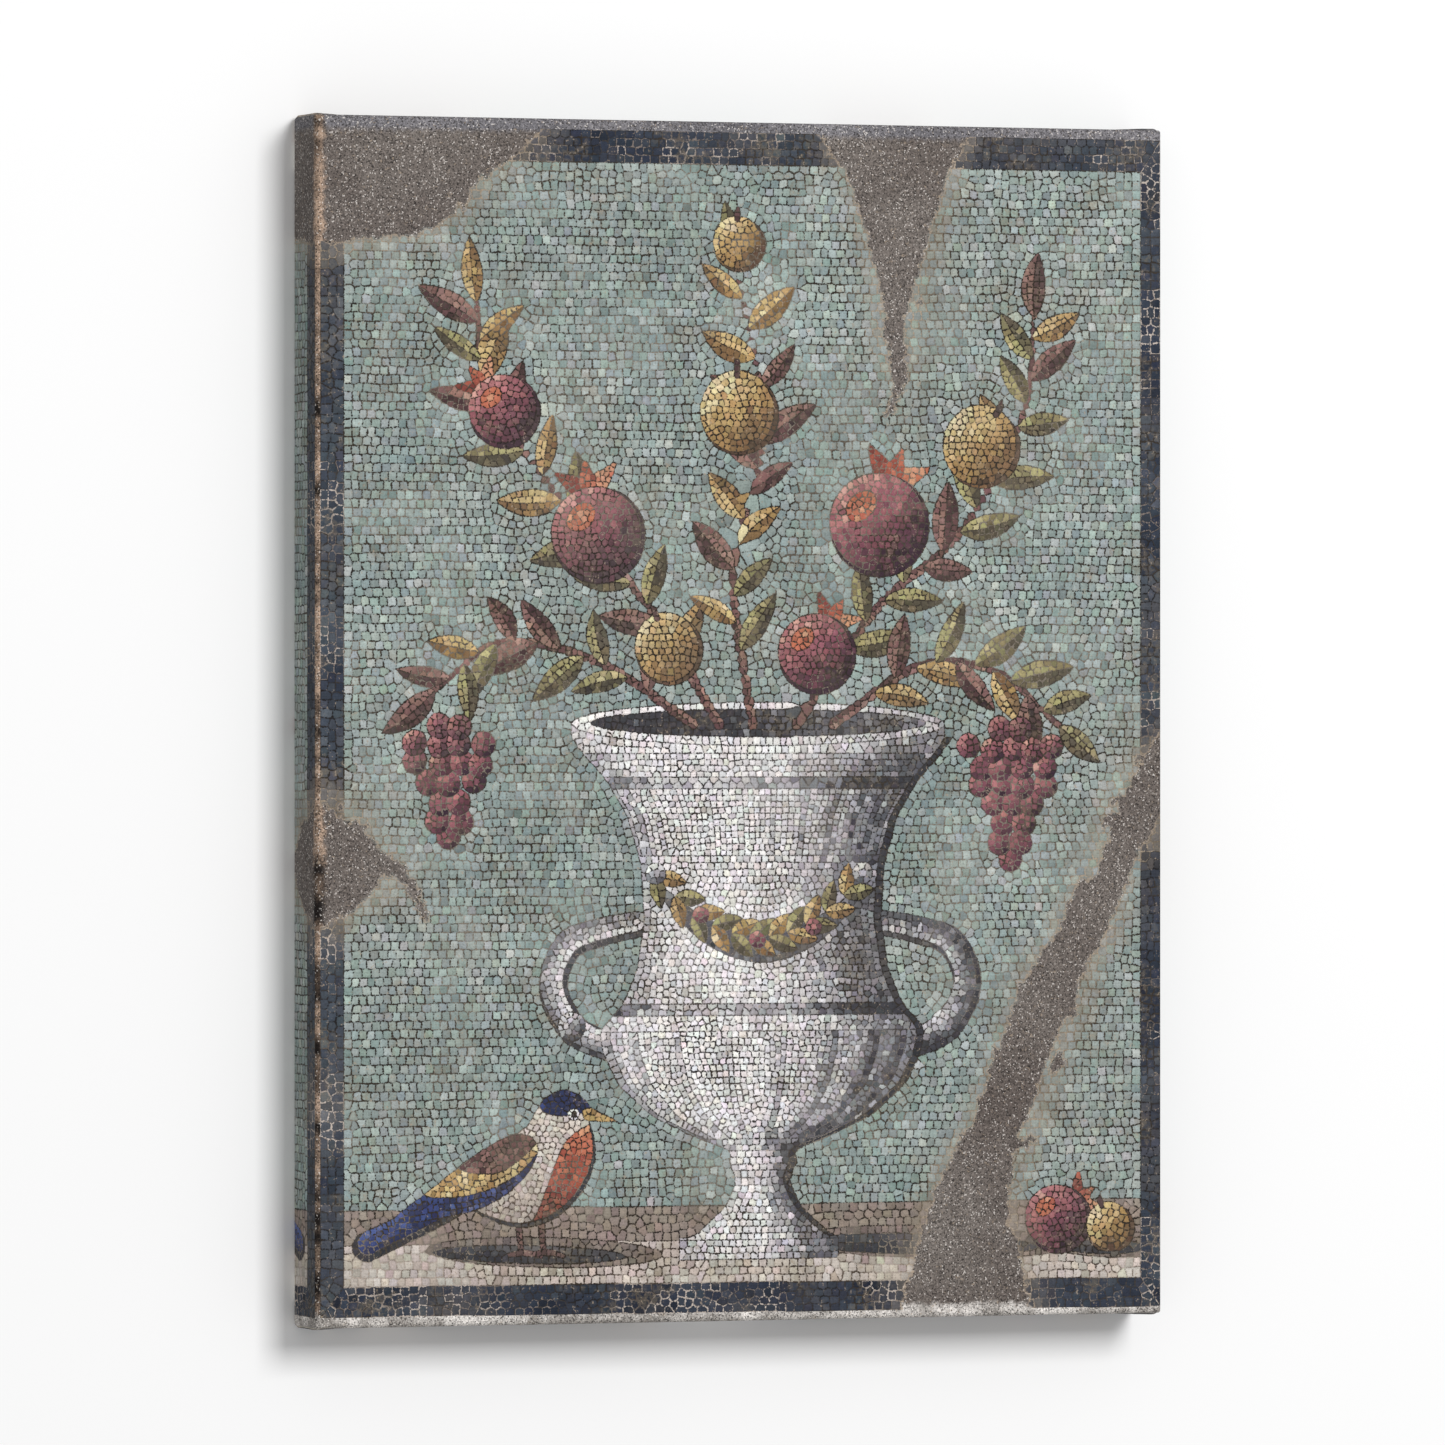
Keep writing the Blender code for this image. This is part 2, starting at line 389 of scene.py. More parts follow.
def urn(d, middle):
    """A footed marble urn: bands of its turned outline, flutes on the neck, ribs on the belly, two
    handles, a dark line down its shaded side and a garland of leaves across its shoulder."""
    turned = (
        (31, 43), (41, 43), (42, 36), (48, 29), (58, 18), (70, 12.5), (76, 14), (81, 17), (86, 14), (92, 32),
        (104, 58), (120, 76), (136, 84), (147, 86), (152, 82), (160, 74), (178, 66), (204, 62), (232, 64),
        (256, 71), (274, 82), (287, 94), (294, 100), (303, 101),
    )
    levels, radii = np.transpose(turned)
    for side in (-1, 1):
        bend = (80, 140), (101, 150), (112, 171), (104, 192), (86, 199), (66, 203)
        bow = [(middle + side * x, y) for x, y in bend]
        rim = [(x + 1.2, y - 1.6) for x, y in bow]
        d.stroke(rim, [7.0, 7.8, 7.6, 7.6, 7.0, 6.4], MARBLE, 0.95, 3.2)
        pale = 0.42 + 0.11 * (side + 1)
        d.stroke(bow, [5.5, 6.2, 6, 6, 5.5, 5.0], MARBLE, lambda t, a: pale - 0.3 * a * side, 3.3)
        d.oval((middle + side * 101, 150), (7.5, 7.5), MARBLE, lambda u, v: lit(u, v), 3.2)
    part, x, y = d.window((middle - 110, middle + 110), (31, 304))
    radius = sum(np.interp(y + k, levels, radii) for k in (-2.5, -1.2, 0, 1.2, 2.5)) / 5
    radius = np.where(y < 42, 43, np.where(y > 295, 101, radius))
    d.lay(part, (x > middle) & (x < middle + radius + 4) & (y > 42) & (y < 296), SHADE, 0.75, 3.3)
    s = (x - middle) / radius
    body = np.abs(s) < 1
    tone = 0.06 + 0.80 * np.clip((s + 0.25) / 1.2, 0, 1) ** 1.5
    tone = tone + 0.40 * np.clip((-0.64 - s) / 0.36, 0, 1) ** 1.2
    tone -= 0.16 * np.clip((s - 0.84) / 0.16, 0, 1)
    bands = (
        (31, 41, 0.06), (41, 76, 0.02), (76, 86, -0.05), (86, 92, 0.2), (147, 155, -0.08), (155, 161, 0.3),
        (161, 270, 0), (270, 276, 0.3), (276, 288, 0.04), (288, 304, -0.12),
    )
    for low, high, add in bands:
        d.lay(part, body & (y >= low) & (y < high), MARBLE, tone + add)
    under_shoulder = 0.22 * np.clip((104 - y) / 12, 0, 1)
    for ribs, low, high, depth in ((9, 92, 147, 0.34), (13, 236, 270, 0.24)):
        turn = np.arcsin(np.clip(s, -1, 1)) / np.pi * ribs + ribs / 2
        rib = np.clip(np.floor(turn), 0, ribs - 1)
        hollow = np.clip((turn - rib) * 2 - 1, 0, 1) ** 1.5
        for k in range(ribs):
            mask = body & (y >= low) & (y < high) & (rib == k)
            d.lay(part, mask, MARBLE, tone + depth * hollow + under_shoulder - 0.05, 3.2)
    share = np.linspace(0, 1, 12)
    hung = np.stack([middle - 56 + 112 * share, 226 - 128 * share * (1 - share)], 1)
    d.stroke(hung + (1, -5), [2.0, 6.0, 7.5, 6.0, 2.0], MARBLE, 0.8, 3.2)
    for k, (foot, ahead) in enumerate(zip(hung[:-1], np.diff(hung, axis=0))):
        heading = math.degrees(math.atan2(ahead[1], ahead[0]))
        for way in (34, -34):
            leaf(d, foot, 17, heading + way, (LEAF, OCHRE)[(k + (way > 0)) % 2], 0.5, 0)
    for k in (2, 5, 8):
        d.oval(hung[k] + (4, -1), (4.6, 4.6), WINE, lambda u, v: lit(u, v, 0.1, 0.8), 3.0)
    for side in (-1, 1):
        knob = middle + side * 56, 227
        d.oval(knob, (5.6, 5.6), MARBLE, lambda u, v: lit(u, v, 0.15 + 0.12 * side, 0.9), 3.1)
    d.oval((middle, 303), (101, 11), MARBLE, lambda u, v: 0.12 + 0.3 * u)
    d.oval((middle, 303.5), (91, 7), MARBLE, lambda u, v: 0.9 - 0.2 * u)


def branch(d, points, leaves, seed):
    """A brown branch with leaves on alternate sides and one at its tip."""
    rng = np.random.default_rng(seed)
    line = through(points, 30)
    d.stroke(points, [3.0, 2.6, 2.2, 1.7], WOOD, lambda t, a: 0.45 + 0.35 * a, 3.1)
    at = np.linspace(0.16, 1, leaves)
    where = np.stack([np.interp(at, np.linspace(0, 1, len(line)), line[:, k]) for k in (0, 1)], 1)
    headings = np.degrees(np.arctan2(*np.gradient(where, axis=0).T[::-1]))
    for k, (foot, heading) in enumerate(zip(where, headings)):
        side = 0 if k == leaves - 1 else 1 if k % 2 else -1
        family = (LEAF, OCHRE, WOOD, LEAF)[rng.integers(4)]
        turn, length = heading + side * rng.uniform(34, 62), rng.uniform(27, 37)
        leaf(d, foot, length, turn, family, rng.uniform(0.34, 0.44), rng.uniform(-0.05, 0.05))


def bird(d, x0, y0):
    """A bird on the sand, seen from its right: legs, long tail, pale body, red breast, barred wing,
    dark cap, eye and beak."""

    def at(*points):
        return [(x0 + x, y0 + y) for x, y in points]

    for x in (46, 58):
        d.stroke(at((x, 24), (x + 1, 10), (x + 2, 0)), [2.0, 1.7, 1.6], WOOD, 0.5, 3.0)
        d.stroke(at((x - 4, -1), (x + 4, 0), (x + 13, -2)), [1.2, 1.8, 1.0], WOOD, 0.6, 3.0)
    d.stroke(at((30, 34), (2, 20), (-34, 4)), [6.0, 7.0, 7.6], SHADE, 0.8, 3.2)
    d.stroke(at((30, 36), (2, 22), (-33, 6)), [4.5, 5.2, 5.8], BLUE, lambda t, a: 0.62 + 0.3 * a, 3.2)
    body = at(
        (14, 32), (26, 21), (46, 15), (64, 19), (79, 32), (86, 48), (85, 62), (80, 74), (69, 79), (58, 74),
        (51, 64), (38, 55), (22, 44),
    )
    d.outline([(x + 1.4, y - 2.2) for x, y in body], SHADE, 0.7, 3.2)
    d.outline(
        body, SAND, lambda x, y: np.maximum(0.8 - 0.016 * (y - y0), 0.05) + 0.1 * np.sin(x * 0.45), 3.2
    )
    breast = at((52, 8), (60, 28), (66, 44), (74, 58), (90, 64), (96, 40), (84, 18), (66, 8))
    d.outline(breast, RUST, lambda x, y: 0.15 + 0.013 * (y0 + 58 - y), 3.1, on=d.shapes)
    quills = at((-20, 17), (4, 18), (30, 24), (50, 38), (57, 54), (45, 60), (24, 50), (2, 34))
    band = at((-4, 30), (18, 29), (38, 35), (52, 45), (62, 62), (40, 72), (12, 60), (-8, 44))
    shoulder = at((14, 44), (32, 40), (46, 46), (60, 62), (46, 74), (18, 62))
    wing = None
    for shape, family, dark, pale in (
        (quills, BLUE, 0.85, 0.5),
        (band, OCHRE, 0.6, 0.15),
        (shoulder, WOOD, 0.65, 0.3),
    ):

        def barred(x, y):
            return np.where(((x - x0) * 0.8 - (y - y0) * 0.9) % 9 < 3.6, dark, pale)

        d.outline(shape, family, barred, 3.1, on=wing)
        wing = d.shapes
    d.outline(at((58, 73), (66, 69), (84, 71), (82, 77), (72, 82), (62, 79)), BLUE, 0.8, 3.0)
    d.stroke(at((84, 69.5), (98, 66)), [3.4, 0.7], OCHRE, 0.35, 3.0)
    d.oval((x0 + 76, y0 + 69.5), (3.1, 3.1), MARBLE, 0.0, 2.8)
    d.oval((x0 + 76.4, y0 + 69.5), (1.6, 1.6), SHADE, 1.0, 2.6)


def draw_still_life():
    """The whole picture, from the ground up: each shape covers what is under it."""
    d = Drawing()
    w, h = PICTURE
    part, x, y = d.window((0, w), (0, h))
    stain = 0.6 * soft_noise(x, y, 46, 3) + 0.4 * soft_noise(x, y, 17, 4) - 0.5
    d.lay(part, x > -1, TEAL, 0.42 + 0.5 * stain, 4.45)
    sand = y - 1.1 * soft_noise(x, y, 60, 8)
    d.lay(part, sand < 58, PINK, 0.4 + 0.3 * stain, 4.5)
    d.lay(part, sand < 40.5, SAND, 0.35 + 0.45 * stain, 4.3)
    for middle, length, thick in (((322, 37), 66, 5.4), ((112, 35), 52, 4.6), ((424, 34), 26, 3.6)):
        d.oval((middle[0] + 8, middle[1] + 1), (length + 12, thick + 3), PINK, 0.7, 3.8, -2)
        d.oval(middle, (length, thick), SHADE, lambda u, v: 0.5 - 0.4 * v, 3.6, -2)
    urn(d, 236)
    for points, leaves, seed in (
        ([(214, 303), (178, 360), (134, 410), (92, 468), (84, 516)], 17, 1),
        ([(232, 303), (222, 380), (238, 452), (224, 534)], 15, 2),
        ([(256, 303), (300, 362), (346, 402), (380, 462), (386, 512)], 16, 3),
        ([(200, 303), (150, 334), (98, 344), (62, 320)], 12, 5),
        ([(276, 303), (322, 332), (364, 330), (400, 302)], 11, 6),
    ):
        branch(d, points, leaves, seed)
    for fruit, centre, radius, turn in (
        (pomegranate, (148, 400), 24, 100),
        (pomegranate, (300, 406), 26, 70),
        (pomegranate, (98, 462), 18, 130),
        (pomegranate, (266, 340), 20, 60),
        (quince, (224, 462), 20, 90),
        (quince, (356, 446), 20, 60),
        (quince, (186, 342), 17, 110),
        (quince, (224, 548), 13, 90),
    ):
        fruit(d, centre, radius, turn)
    grapes(d, (374, 300), 78, 11)
    grapes(d, (70, 302), 70, 12)
    bird(d, 60, 36)
    pomegranate(d, (398, 50), 17, 35)
    quince(d, (427, 45), 12, 110)
    # how far each point is across the border, 0 to 1, from the left, right, bottom and top
    bottom = 5.0 - 2.2 * x / w
    inward = np.stack([(x - 1.6) / 12.4, (w - x) / 11.2, (y - bottom) / 15.2, (h - 5.0 - y) / 16.2])
    for k, tone in enumerate((0.48, 0.66, 0.75, 0.72)):
        band = (inward.min(0) < 1) & (inward.argmin(0) == k)
        d.lay(part, band, BORDER, tone + 0.5 * (soft_noise(x, y, 25, 20 + k) - 0.5), 4.6)
    d.lay(part, inward.min(0) < 0, MORTAR, 0.5, 5.0)
    return d


def draw_losses():
    """Where stones have fallen out and mortar shows, drawn by itself, and how worn the ground round
    it is, 0 to 1: the lost ground blurred three times over 61 grid points each way, with noise."""
    d = Drawing()
    w, h = PICTURE
    for outline in (
        [(-14, h + 14), (118, h + 10), (104, 590), (82, 574), (66, 556), (40, 548), (-14, 552)],
        [(268, h + 8), (348, h + 8), (338, 584), (330, 556), (318, 520), (309, 498), (300, 530), (286, 578)],
        [(318, -9), (376, -9), (380, 22), (366, 52), (344, 60), (326, 36)],
        [(-12, 262), (14, 256), (34, 236), (26, 214), (12, 206), (-12, 200)],
    ):
        d.outline(outline, MORTAR, 1)
    crack = [(476, 300), (446, 262), (424, 214), (396, 170), (372, 112), (352, 60), (336, -12)]
    for line, widths in (
        (crack, [16, 12, 8.5, 12, 14, 13, 22, 26]),
        ([(309, 505), (312, 478), (306, 462)], [6, 3.4, 1.5]),
        ([(28, 236), (46, 226), (58, 206)], [5.5, 3.4, 2.0]),
    ):
        d.stroke(line, widths, MORTAR, 1)
    lost = d.family == MORTAR
    reach = lost.astype(np.float32)
    for axis in (0, 1) * 3:
        total = np.cumsum(np.pad(np.moveaxis(reach, axis, 0), [(31, 30), (0, 0)], "edge"), 0)
        reach = np.moveaxis((total[61:] - total[:-61]) / 61, 0, axis)
    _, x, y = d.window((0, w), (0, h))
    ragged = 0.6 * soft_noise(x, y, 13, 31) + 0.4 * soft_noise(x, y, 5.5, 32)
    uneven = 0.7 * soft_noise(x, y, 38, 33) + 0.3 * soft_noise(x, y, 12, 34)
    worn = np.clip(reach * 2.2 + 0.9 * uneven - 0.42, 0, 1)
    lost |= (reach + (ragged - 0.5) * 0.55 > 0.62) | (worn + ragged > 1.66)
    return lost, worn


def shifted(values, down, left, outside):
    """The grid moved by whole steps, with a fixed value coming in at its edges."""
    moved = np.full_like(values, outside)
    ny, nx = values.shape
    into = slice(max(0, down), ny + min(0, down)), slice(max(0, left), nx + min(0, left))
    source = slice(max(0, -down), ny + min(0, -down)), slice(max(0, -left), nx + min(0, -left))
    moved[into] = values[source]
    return moved


def to_nearest_outline(shape):
    """Each point's vector to the nearest change of shape. Points pass on the nearest one that they know
    of to points 64, 32, ... 1 steps away (jump flooding)."""
    edge = np.zeros(shape.shape, bool)
    edge[:, 1:] |= shape[:, 1:] != shape[:, :-1]
    edge[1:] |= shape[1:] != shape[:-1]
    edge[0] = edge[-1] = edge[:, 0] = edge[:, -1] = True
    gy, gx = np.mgrid[0 : shape.shape[0], 0 : shape.shape[1]].astype(np.float32)
    sx, sy = np.where(edge, gx, -1e6), np.where(edge, gy, -1e6)
    for jump in (1, 64, 32, 16, 8, 4, 2, 1):
        for down, left in ((a, b) for a in (-jump, 0, jump) for b in (-jump, 0, jump) if a or b):
            tx, ty = shifted(sx, down, left, -1e6), shifted(sy, down, left, -1e6)
            nearer = (tx - gx) ** 2 + (ty - gy) ** 2 < (sx - gx) ** 2 + (sy - gy) ** 2
            sx, sy = np.where(nearer, tx, sx), np.where(nearer, ty, sy)
    return sx - gx, sy - gy


def row_angles(d):
    """The direction of the rows of stones: along the nearest outline, and level in the open ground."""
    shape = d.shape[::2, ::2]
    vx, vy = to_nearest_outline(shape)
    away = np.hypot(vx, vy) * 2 * GRID_STEP[0]
    c, s = np.cos(4 * np.arctan2(vy, vx)), np.sin(4 * np.arctan2(vy, vx))
    for axis in (0, 1) * 6:
        c = (np.roll(c, 1, axis) + 2 * c + np.roll(c, -1, axis)) / 4
        s = (np.roll(s, 1, axis) + 2 * s + np.roll(s, -1, axis)) / 4
    y, x = np.mgrid[0 : shape.shape[0], 0 : shape.shape[1]] * 2 * GRID_STEP[0]
    level = 0.5 * (soft_noise(x, y, 85, 40) - 0.5)
    ground = np.isin(d.family[::2, ::2], (TEAL, PINK, SAND))
    follow = np.where(ground, np.clip(1.35 - away / 9.5, 0, 1), 1.0)
    size = np.hypot(c, s) + 1e-6
    c = follow * c / size + (1 - follow) * np.cos(4 * level)
    s = follow * s / size + (1 - follow) * np.sin(4 * level)
    return np.repeat(np.repeat(np.arctan2(s, c) / 4, 2, 0), 2, 1)[: GRID[1], : GRID[0]]


def lay_stones(d, rounds=22, fewest=6):
    """Squarish stones that fill each shape. Every grid point goes to the site of its own shape that is
    nearest by the larger of its distances along and across the row; the sites then move to the middle
    of their stones, and it is repeated. Sites with the fewest points or less are dropped, and five
    times ground that no site reaches gets new ones. Gives each grid point's stone and each middle."""
    rng = np.random.default_rng(7)
    angle = row_angles(d)
    nx, ny = GRID
    sites = []
    for pitch in np.unique(d.pitch):
        across, up = np.meshgrid(*(np.arange(n) for n in (PICTURE / pitch + 2).astype(int)))
        p = np.stack([(across + 0.3 * (up % 2)).ravel(), up.ravel()], 1) * pitch
        p += rng.uniform(-0.3, 0.3, p.shape) * pitch
        p = p[((p > 0) & (p < PICTURE)).all(1)]
        i = np.floor(p / GRID_STEP).astype(int)
        sites.append(p[d.pitch[i[:, 1], i[:, 0]] == pitch])
    p = np.concatenate(sites)
    stretch = rng.uniform(0.88, 1.14, 2 * len(p)).astype(np.float32)
    reach = 10
    wide = nx + 2 * reach + 2
    region = np.full((ny + 2 * reach + 2, wide), -1, np.int32)
    region[reach + 1 : -reach - 1, reach + 1 : -reach - 1] = d.shape
    region = region.ravel()
    down, left = np.divmod(np.arange(ny * nx), nx)
    for turn in range(rounds):
        if turn:
            owned = grid.ravel() >= 0
            p = p[np.bincount(grid.ravel()[owned], minlength=len(p)) > fewest]
            if turn in (3, 6, 9, 12, 15):
                y, x = down[~owned], left[~owned]
                _, pick = np.unique((y // 9) * nx + x // 9, return_index=True)
                p = np.concatenate([p, (np.stack([x, y], 1)[pick] + 0.5) * GRID_STEP])
        i = np.clip(np.floor(p / GRID_STEP).astype(int), 0, GRID - 1)
        _, single = np.unique(i[:, 1] * nx + i[:, 0], return_index=True)
        p, i = p[single], i[single]
        here = i[:, 1], i[:, 0]
        along = angle[here]
        size, mine = d.pitch[here], d.shape[here]
        c, s = (f(along).astype(np.float32) / size for f in (np.cos, np.sin))
        longer = stretch[: len(p)]
        base = (i[:, 1] + reach + 1) * wide + i[:, 0] + reach + 1
        fx, fy = ((i + 0.5) * GRID_STEP - p).T.astype(np.float32)
        best = np.full(region.size, 9.0, np.float32)
        owner = np.full(region.size, -1, np.int32)
        stones = np.arange(len(p), dtype=np.int32)
        for dy in range(-reach, reach + 1):
            y = fy + np.float32(dy * GRID_STEP[1])
            for dx in range(-reach, reach + 1):
                at = base + (dy * wide + dx)
                x = fx + np.float32(dx * GRID_STEP[0])
                u, v = np.abs(x * c + y * s) / longer, np.abs(y * c - x * s) * longer
                cost = np.maximum(u, v) + 0.06 * (u + v)
                take = (cost < best[at]) & (region[at] == mine)
                at = at[take]
                best[at] = cost[take]
                owner[at] = stones[take]
        grid = owner.reshape(-1, wide)[reach + 1 : -reach - 1, reach + 1 : -reach - 1]
        p = middles(grid, len(p))
    return grid, p


# One grid step down, up, left and right
BESIDE = (1, 0), (-1, 0), (0, 1), (0, -1)


def without_crumbs(grid, middles, shape):
    """Each stone keeps the part that spreads from the point nearest its middle, and loose points join
    a neighbour."""
    flat = grid.ravel()
    down, left = np.divmod(np.arange(flat.size), GRID[0])
    away = np.full(flat.size, 1e9)
    owned = flat >= 0
    xy = np.stack([left, down], 1)[owned] * GRID_STEP + GRID_STEP / 2
    away[owned] = ((xy - middles[flat[owned]]) ** 2).sum(1)
    order = np.lexsort((away, flat))
    first = order[np.minimum(np.searchsorted(flat[order], np.arange(len(middles))), flat.size - 1)]
    kept = np.zeros(flat.size, bool)
    kept[first[flat[first] == np.arange(len(middles))]] = True
    kept = kept.reshape(grid.shape)
    for _ in range(24):
        for side in BESIDE:
            kept |= shifted(kept, *side, False) & (shifted(grid, *side, -9) == grid)
    return filled(np.where(kept, grid, -1), shape)


def filled(grid, shape):
    """Points that no stone owns go to the stones beside them, step by step: only to those of their own
    shape for the first 12 steps, then to any."""
    step = 0
    while (grid < 0).any():
        step += 1
        for side in BESIDE:
            beside = shifted(grid, *side, -1)
            own = (shifted(shape, *side, -1) == shape) | (step > 12)
            grid = np.where((grid < 0) & (beside >= 0) & own, beside, grid)
    return grid


def middles(grid, stones):
    """The mean place of each stone's grid points."""
    ids = grid.ravel()
    owned = ids >= 0
    down, left = np.divmod(np.arange(ids.size)[owned], GRID[0])
    xy = [np.bincount(ids[owned], (k + 0.5) * s, stones) for k, s in zip((left, down), GRID_STEP)]
    return np.stack(xy, 1) / np.maximum(np.bincount(ids[owned], minlength=stones), 1)[:, None]


def stone_sides(grid, stones):
    """Each stone's straight sides. Its corners are the points where three stones or more meet, those a
    step or two apart taken as one. Gives the corners' places in mm, both corners of each side, and the
    side's stone."""
    ny, nx = grid.shape
    wide = np.zeros((ny + 2, nx + 2), np.int64)
    wide[1:-1, 1:-1] = grid
    wide[:, 0], wide[:, -1], wide[0], wide[-1] = stones, stones + 1, stones + 2, stones + 3
    blocks = np.stack([wide[:-1, :-1], wide[:-1, 1:], wide[1:, :-1], wide[1:, 1:]], -1)
    meeting = (np.diff(np.sort(blocks, -1), axis=-1) != 0).sum(-1) >= 2
    last = meeting.size
    name = np.where(meeting, np.arange(last).reshape(meeting.shape), last)
    for _ in range(4):
        near = np.min([shifted(name, a, b, last) for a in (-1, 0, 1) for b in (-1, 0, 1)], axis=0)
        name = np.where(meeting, near, last)
    down, left = np.nonzero(meeting)
    _, joint = np.unique(name[down, left], return_inverse=True)
    count = np.bincount(joint)
    xy = np.stack([np.bincount(joint, left), np.bincount(joint, down)], 1) / count[:, None] * GRID_STEP
    beside = blocks[down, left]
    for side, (axis, edge) in enumerate(((0, 0), (0, PICTURE[0]), (1, 0), (1, PICTURE[1]))):
        touching = np.bincount(joint, (beside == stones + side).any(1)) > 0
        xy[touching, axis] = edge
    pairs = np.unique(np.stack([beside.ravel(), np.repeat(joint, 4)], 1), axis=0)
    stone, joint = pairs[pairs[:, 0] < stones].T
    spoke = xy[joint] - middles(grid, stones)[stone]
    order = np.lexsort((np.arctan2(spoke[:, 1], spoke[:, 0]), stone))
    stone, joint = stone[order], joint[order]
    count = np.bincount(stone, minlength=stones)
    start = np.cumsum(count) - count
    follow = start[stone] + (np.arange(len(stone)) - start[stone] + 1) % count[stone]
    return xy, joint, joint[follow], stone


def without_odd_stones(grid, stones, shape):
    """A side that isn't also a side of the stone beyond it, the other way round, has an odd stone: odd
    stones go to their neighbours, until there are none."""
    for _ in range(12):
        xy, a, b, stone = stone_sides(grid, stones)
        side, back = a * len(xy) + b, b * len(xy) + a
        at_edge = (((xy[a] == 0) & (xy[b] == 0)) | ((xy[a] == PICTURE) & (xy[b] == PICTURE))).any(1)
        _, name, times = np.unique(side, return_inverse=True, return_counts=True)
        spoke, edge = xy[a] - middles(grid, stones)[stone], xy[b] - xy[a]
        folded = spoke[:, 0] * edge[:, 1] <= spoke[:, 1] * edge[:, 0]
        odd = (~np.isin(side, back) & ~at_edge) | (times[name] > 1) | folded
        if not odd.any():
            break
        grid = filled(np.where(np.isin(grid, stone[odd]), -1, grid), shape)
    return grid


# The grout beside each family of stones, from dark to pale; the last serves all the others
GROUTS = {
    BORDER: ((30, 28, 30), (46, 43, 44), (60, 56, 54), (124, 114, 108), (190, 178, 168)),
    MARBLE: ((44, 40, 40), (60, 56, 55), (82, 77, 76), (116, 111, 109)),
    SAND: ((62, 50, 43), (84, 71, 62), (118, 105, 95), (168, 155, 144)),
    None: ((38, 32, 28), (50, 43, 37), (74, 67, 59), (124, 115, 104)),
}


def stone_colours(d, grid, stones, worn):
    """Each stone's colour: its family's stone for its mean tone, one step off now and then, a little
    lighter or darker, and greyed with dirt where the ground is worn. The grout round it is darker or
    paler by the place. Gives the linear colours of both, and each stone's family."""
    rng = np.random.default_rng(5)
    ids = grid.ravel()
    count = np.maximum(np.bincount(ids, minlength=stones), 1)
    tone, dirt = (np.bincount(ids, k.ravel(), stones) / count for k in (d.tone, worn))
    kinds = len(STONES)
    votes = np.bincount(ids * kinds + d.family.ravel(), minlength=stones * kinds)
    family = votes.reshape(-1, kinds).argmax(1)
    tone += rng.normal(0, 1, stones) * np.where(family == TEAL, 0.13, 0.05)
    tone += rng.choice((-0.17, 0, 0.17), stones, p=(0.06, 0.88, 0.06))
    place = middles(grid, stones).T
    band = 0.65 * soft_noise(*place, 34, 61) + 0.35 * soft_noise(*place, 9, 62)
    pale = np.clip((band - 0.25) / 0.5, 0, 0.999) + rng.normal(0, 0.12, stones)
    colour, grout = np.zeros((stones, 3)), np.zeros((stones, 3))
    for kind, shades in STONES.items():
        chosen = family == kind
        shades = np.array([linear(shade) for shade in shades])
        step = np.round(np.clip(tone[chosen], 0, 1) * (len(shades) - 1)).astype(int)
        colour[chosen] = shades[step]
        shades = np.array([linear(shade) for shade in GROUTS.get(kind, GROUTS[None])])
        step = np.clip(np.floor(pale[chosen] * len(shades)), 0, len(shades) - 1).astype(int)
        grout[chosen] = shades[step]
    colour *= rng.normal(1, 0.07, (stones, 1)).clip(0.78, 1.22) * rng.normal(1, 0.03, (stones, 3))
    soiled = linear((146, 136, 124)) * rng.normal(1, 0.1, (stones, 1))
    share = (dirt * rng.uniform(0.3, 0.95, stones))[:, None] * 0.7
    dust = np.clip(dirt * 2.2 - 1.0, 0, 0.8)[:, None]
    grout = grout * (1 - dust) + linear((172, 156, 136)) * dust
    return colour * (1 - share) + soiled * share, grout, family


# Loose triangles on the cloth laid flat are an array (n, 3, 6). Each corner has its place across and
# up in metres, 0 on the face or 1 on the back of the cloth, its distance in from the stone's side in
# mm, its stone, or -1 off the print, and the part of the cloth that it is on: the front, the top or
# bottom, or a side. The top and bottom parts reach a little past the sides, over the folded corners.
ACROSS, UP, INNER, INSET, STONE, PART = range(6)
FRONT, TOP, SIDE = range(3)
OVERHANG = 0.0015


def stone_fans(grid, stones):
    """Each stone as loose triangles from its middle to its sides."""
    xy, a, b, stone = stone_sides(grid, stones)
    middle = middles(grid, stones)[stone]
    spoke, edge = middle - xy[a], xy[b] - xy[a]
    fans = np.zeros((len(a), 3, 6))
    fans[:, :, :2] = np.stack([middle, xy[a], xy[b]], 1) / 1000 - MIRROR
    twice_area = np.abs(edge[:, 0] * spoke[:, 1] - edge[:, 1] * spoke[:, 0])
    fans[:, 0, INSET] = twice_area / np.linalg.norm(edge, axis=1)
    fans[:, :, STONE] = stone[:, None]
    return fans


def cut(soup, axis, *lines):
    """Splits each triangle that crosses a line, on which that coordinate has that value, into three."""
    for at in lines:
        side = soup[:, :, axis] - at
        side[np.abs(side) < 1e-9] = 0
        crossing = (side.min(1) < 0) & (side.max(1) > 0)
        high = side[crossing] > 0
        lone = np.where(high.sum(1) == 1, high.argmax(1), (~high).argmax(1))
        row, turn = np.arange(len(lone))[:, None], (lone[:, None] + np.arange(3)) % 3
        corner, side = soup[crossing][row, turn], side[crossing][row, turn]
        share = (side[:, :1] / (side[:, :1] - side[:, 1:]))[..., None]
        new = corner[:, :1] + share * (corner[:, 1:] - corner[:, :1])
        new[:, :, axis] = at
        five = np.concatenate([corner, new], 1)
        parts = [five[:, picks] for picks in ((0, 3, 4), (3, 1, 2), (3, 2, 4))]
        soup = np.concatenate([soup[~crossing]] + parts)
    return soup


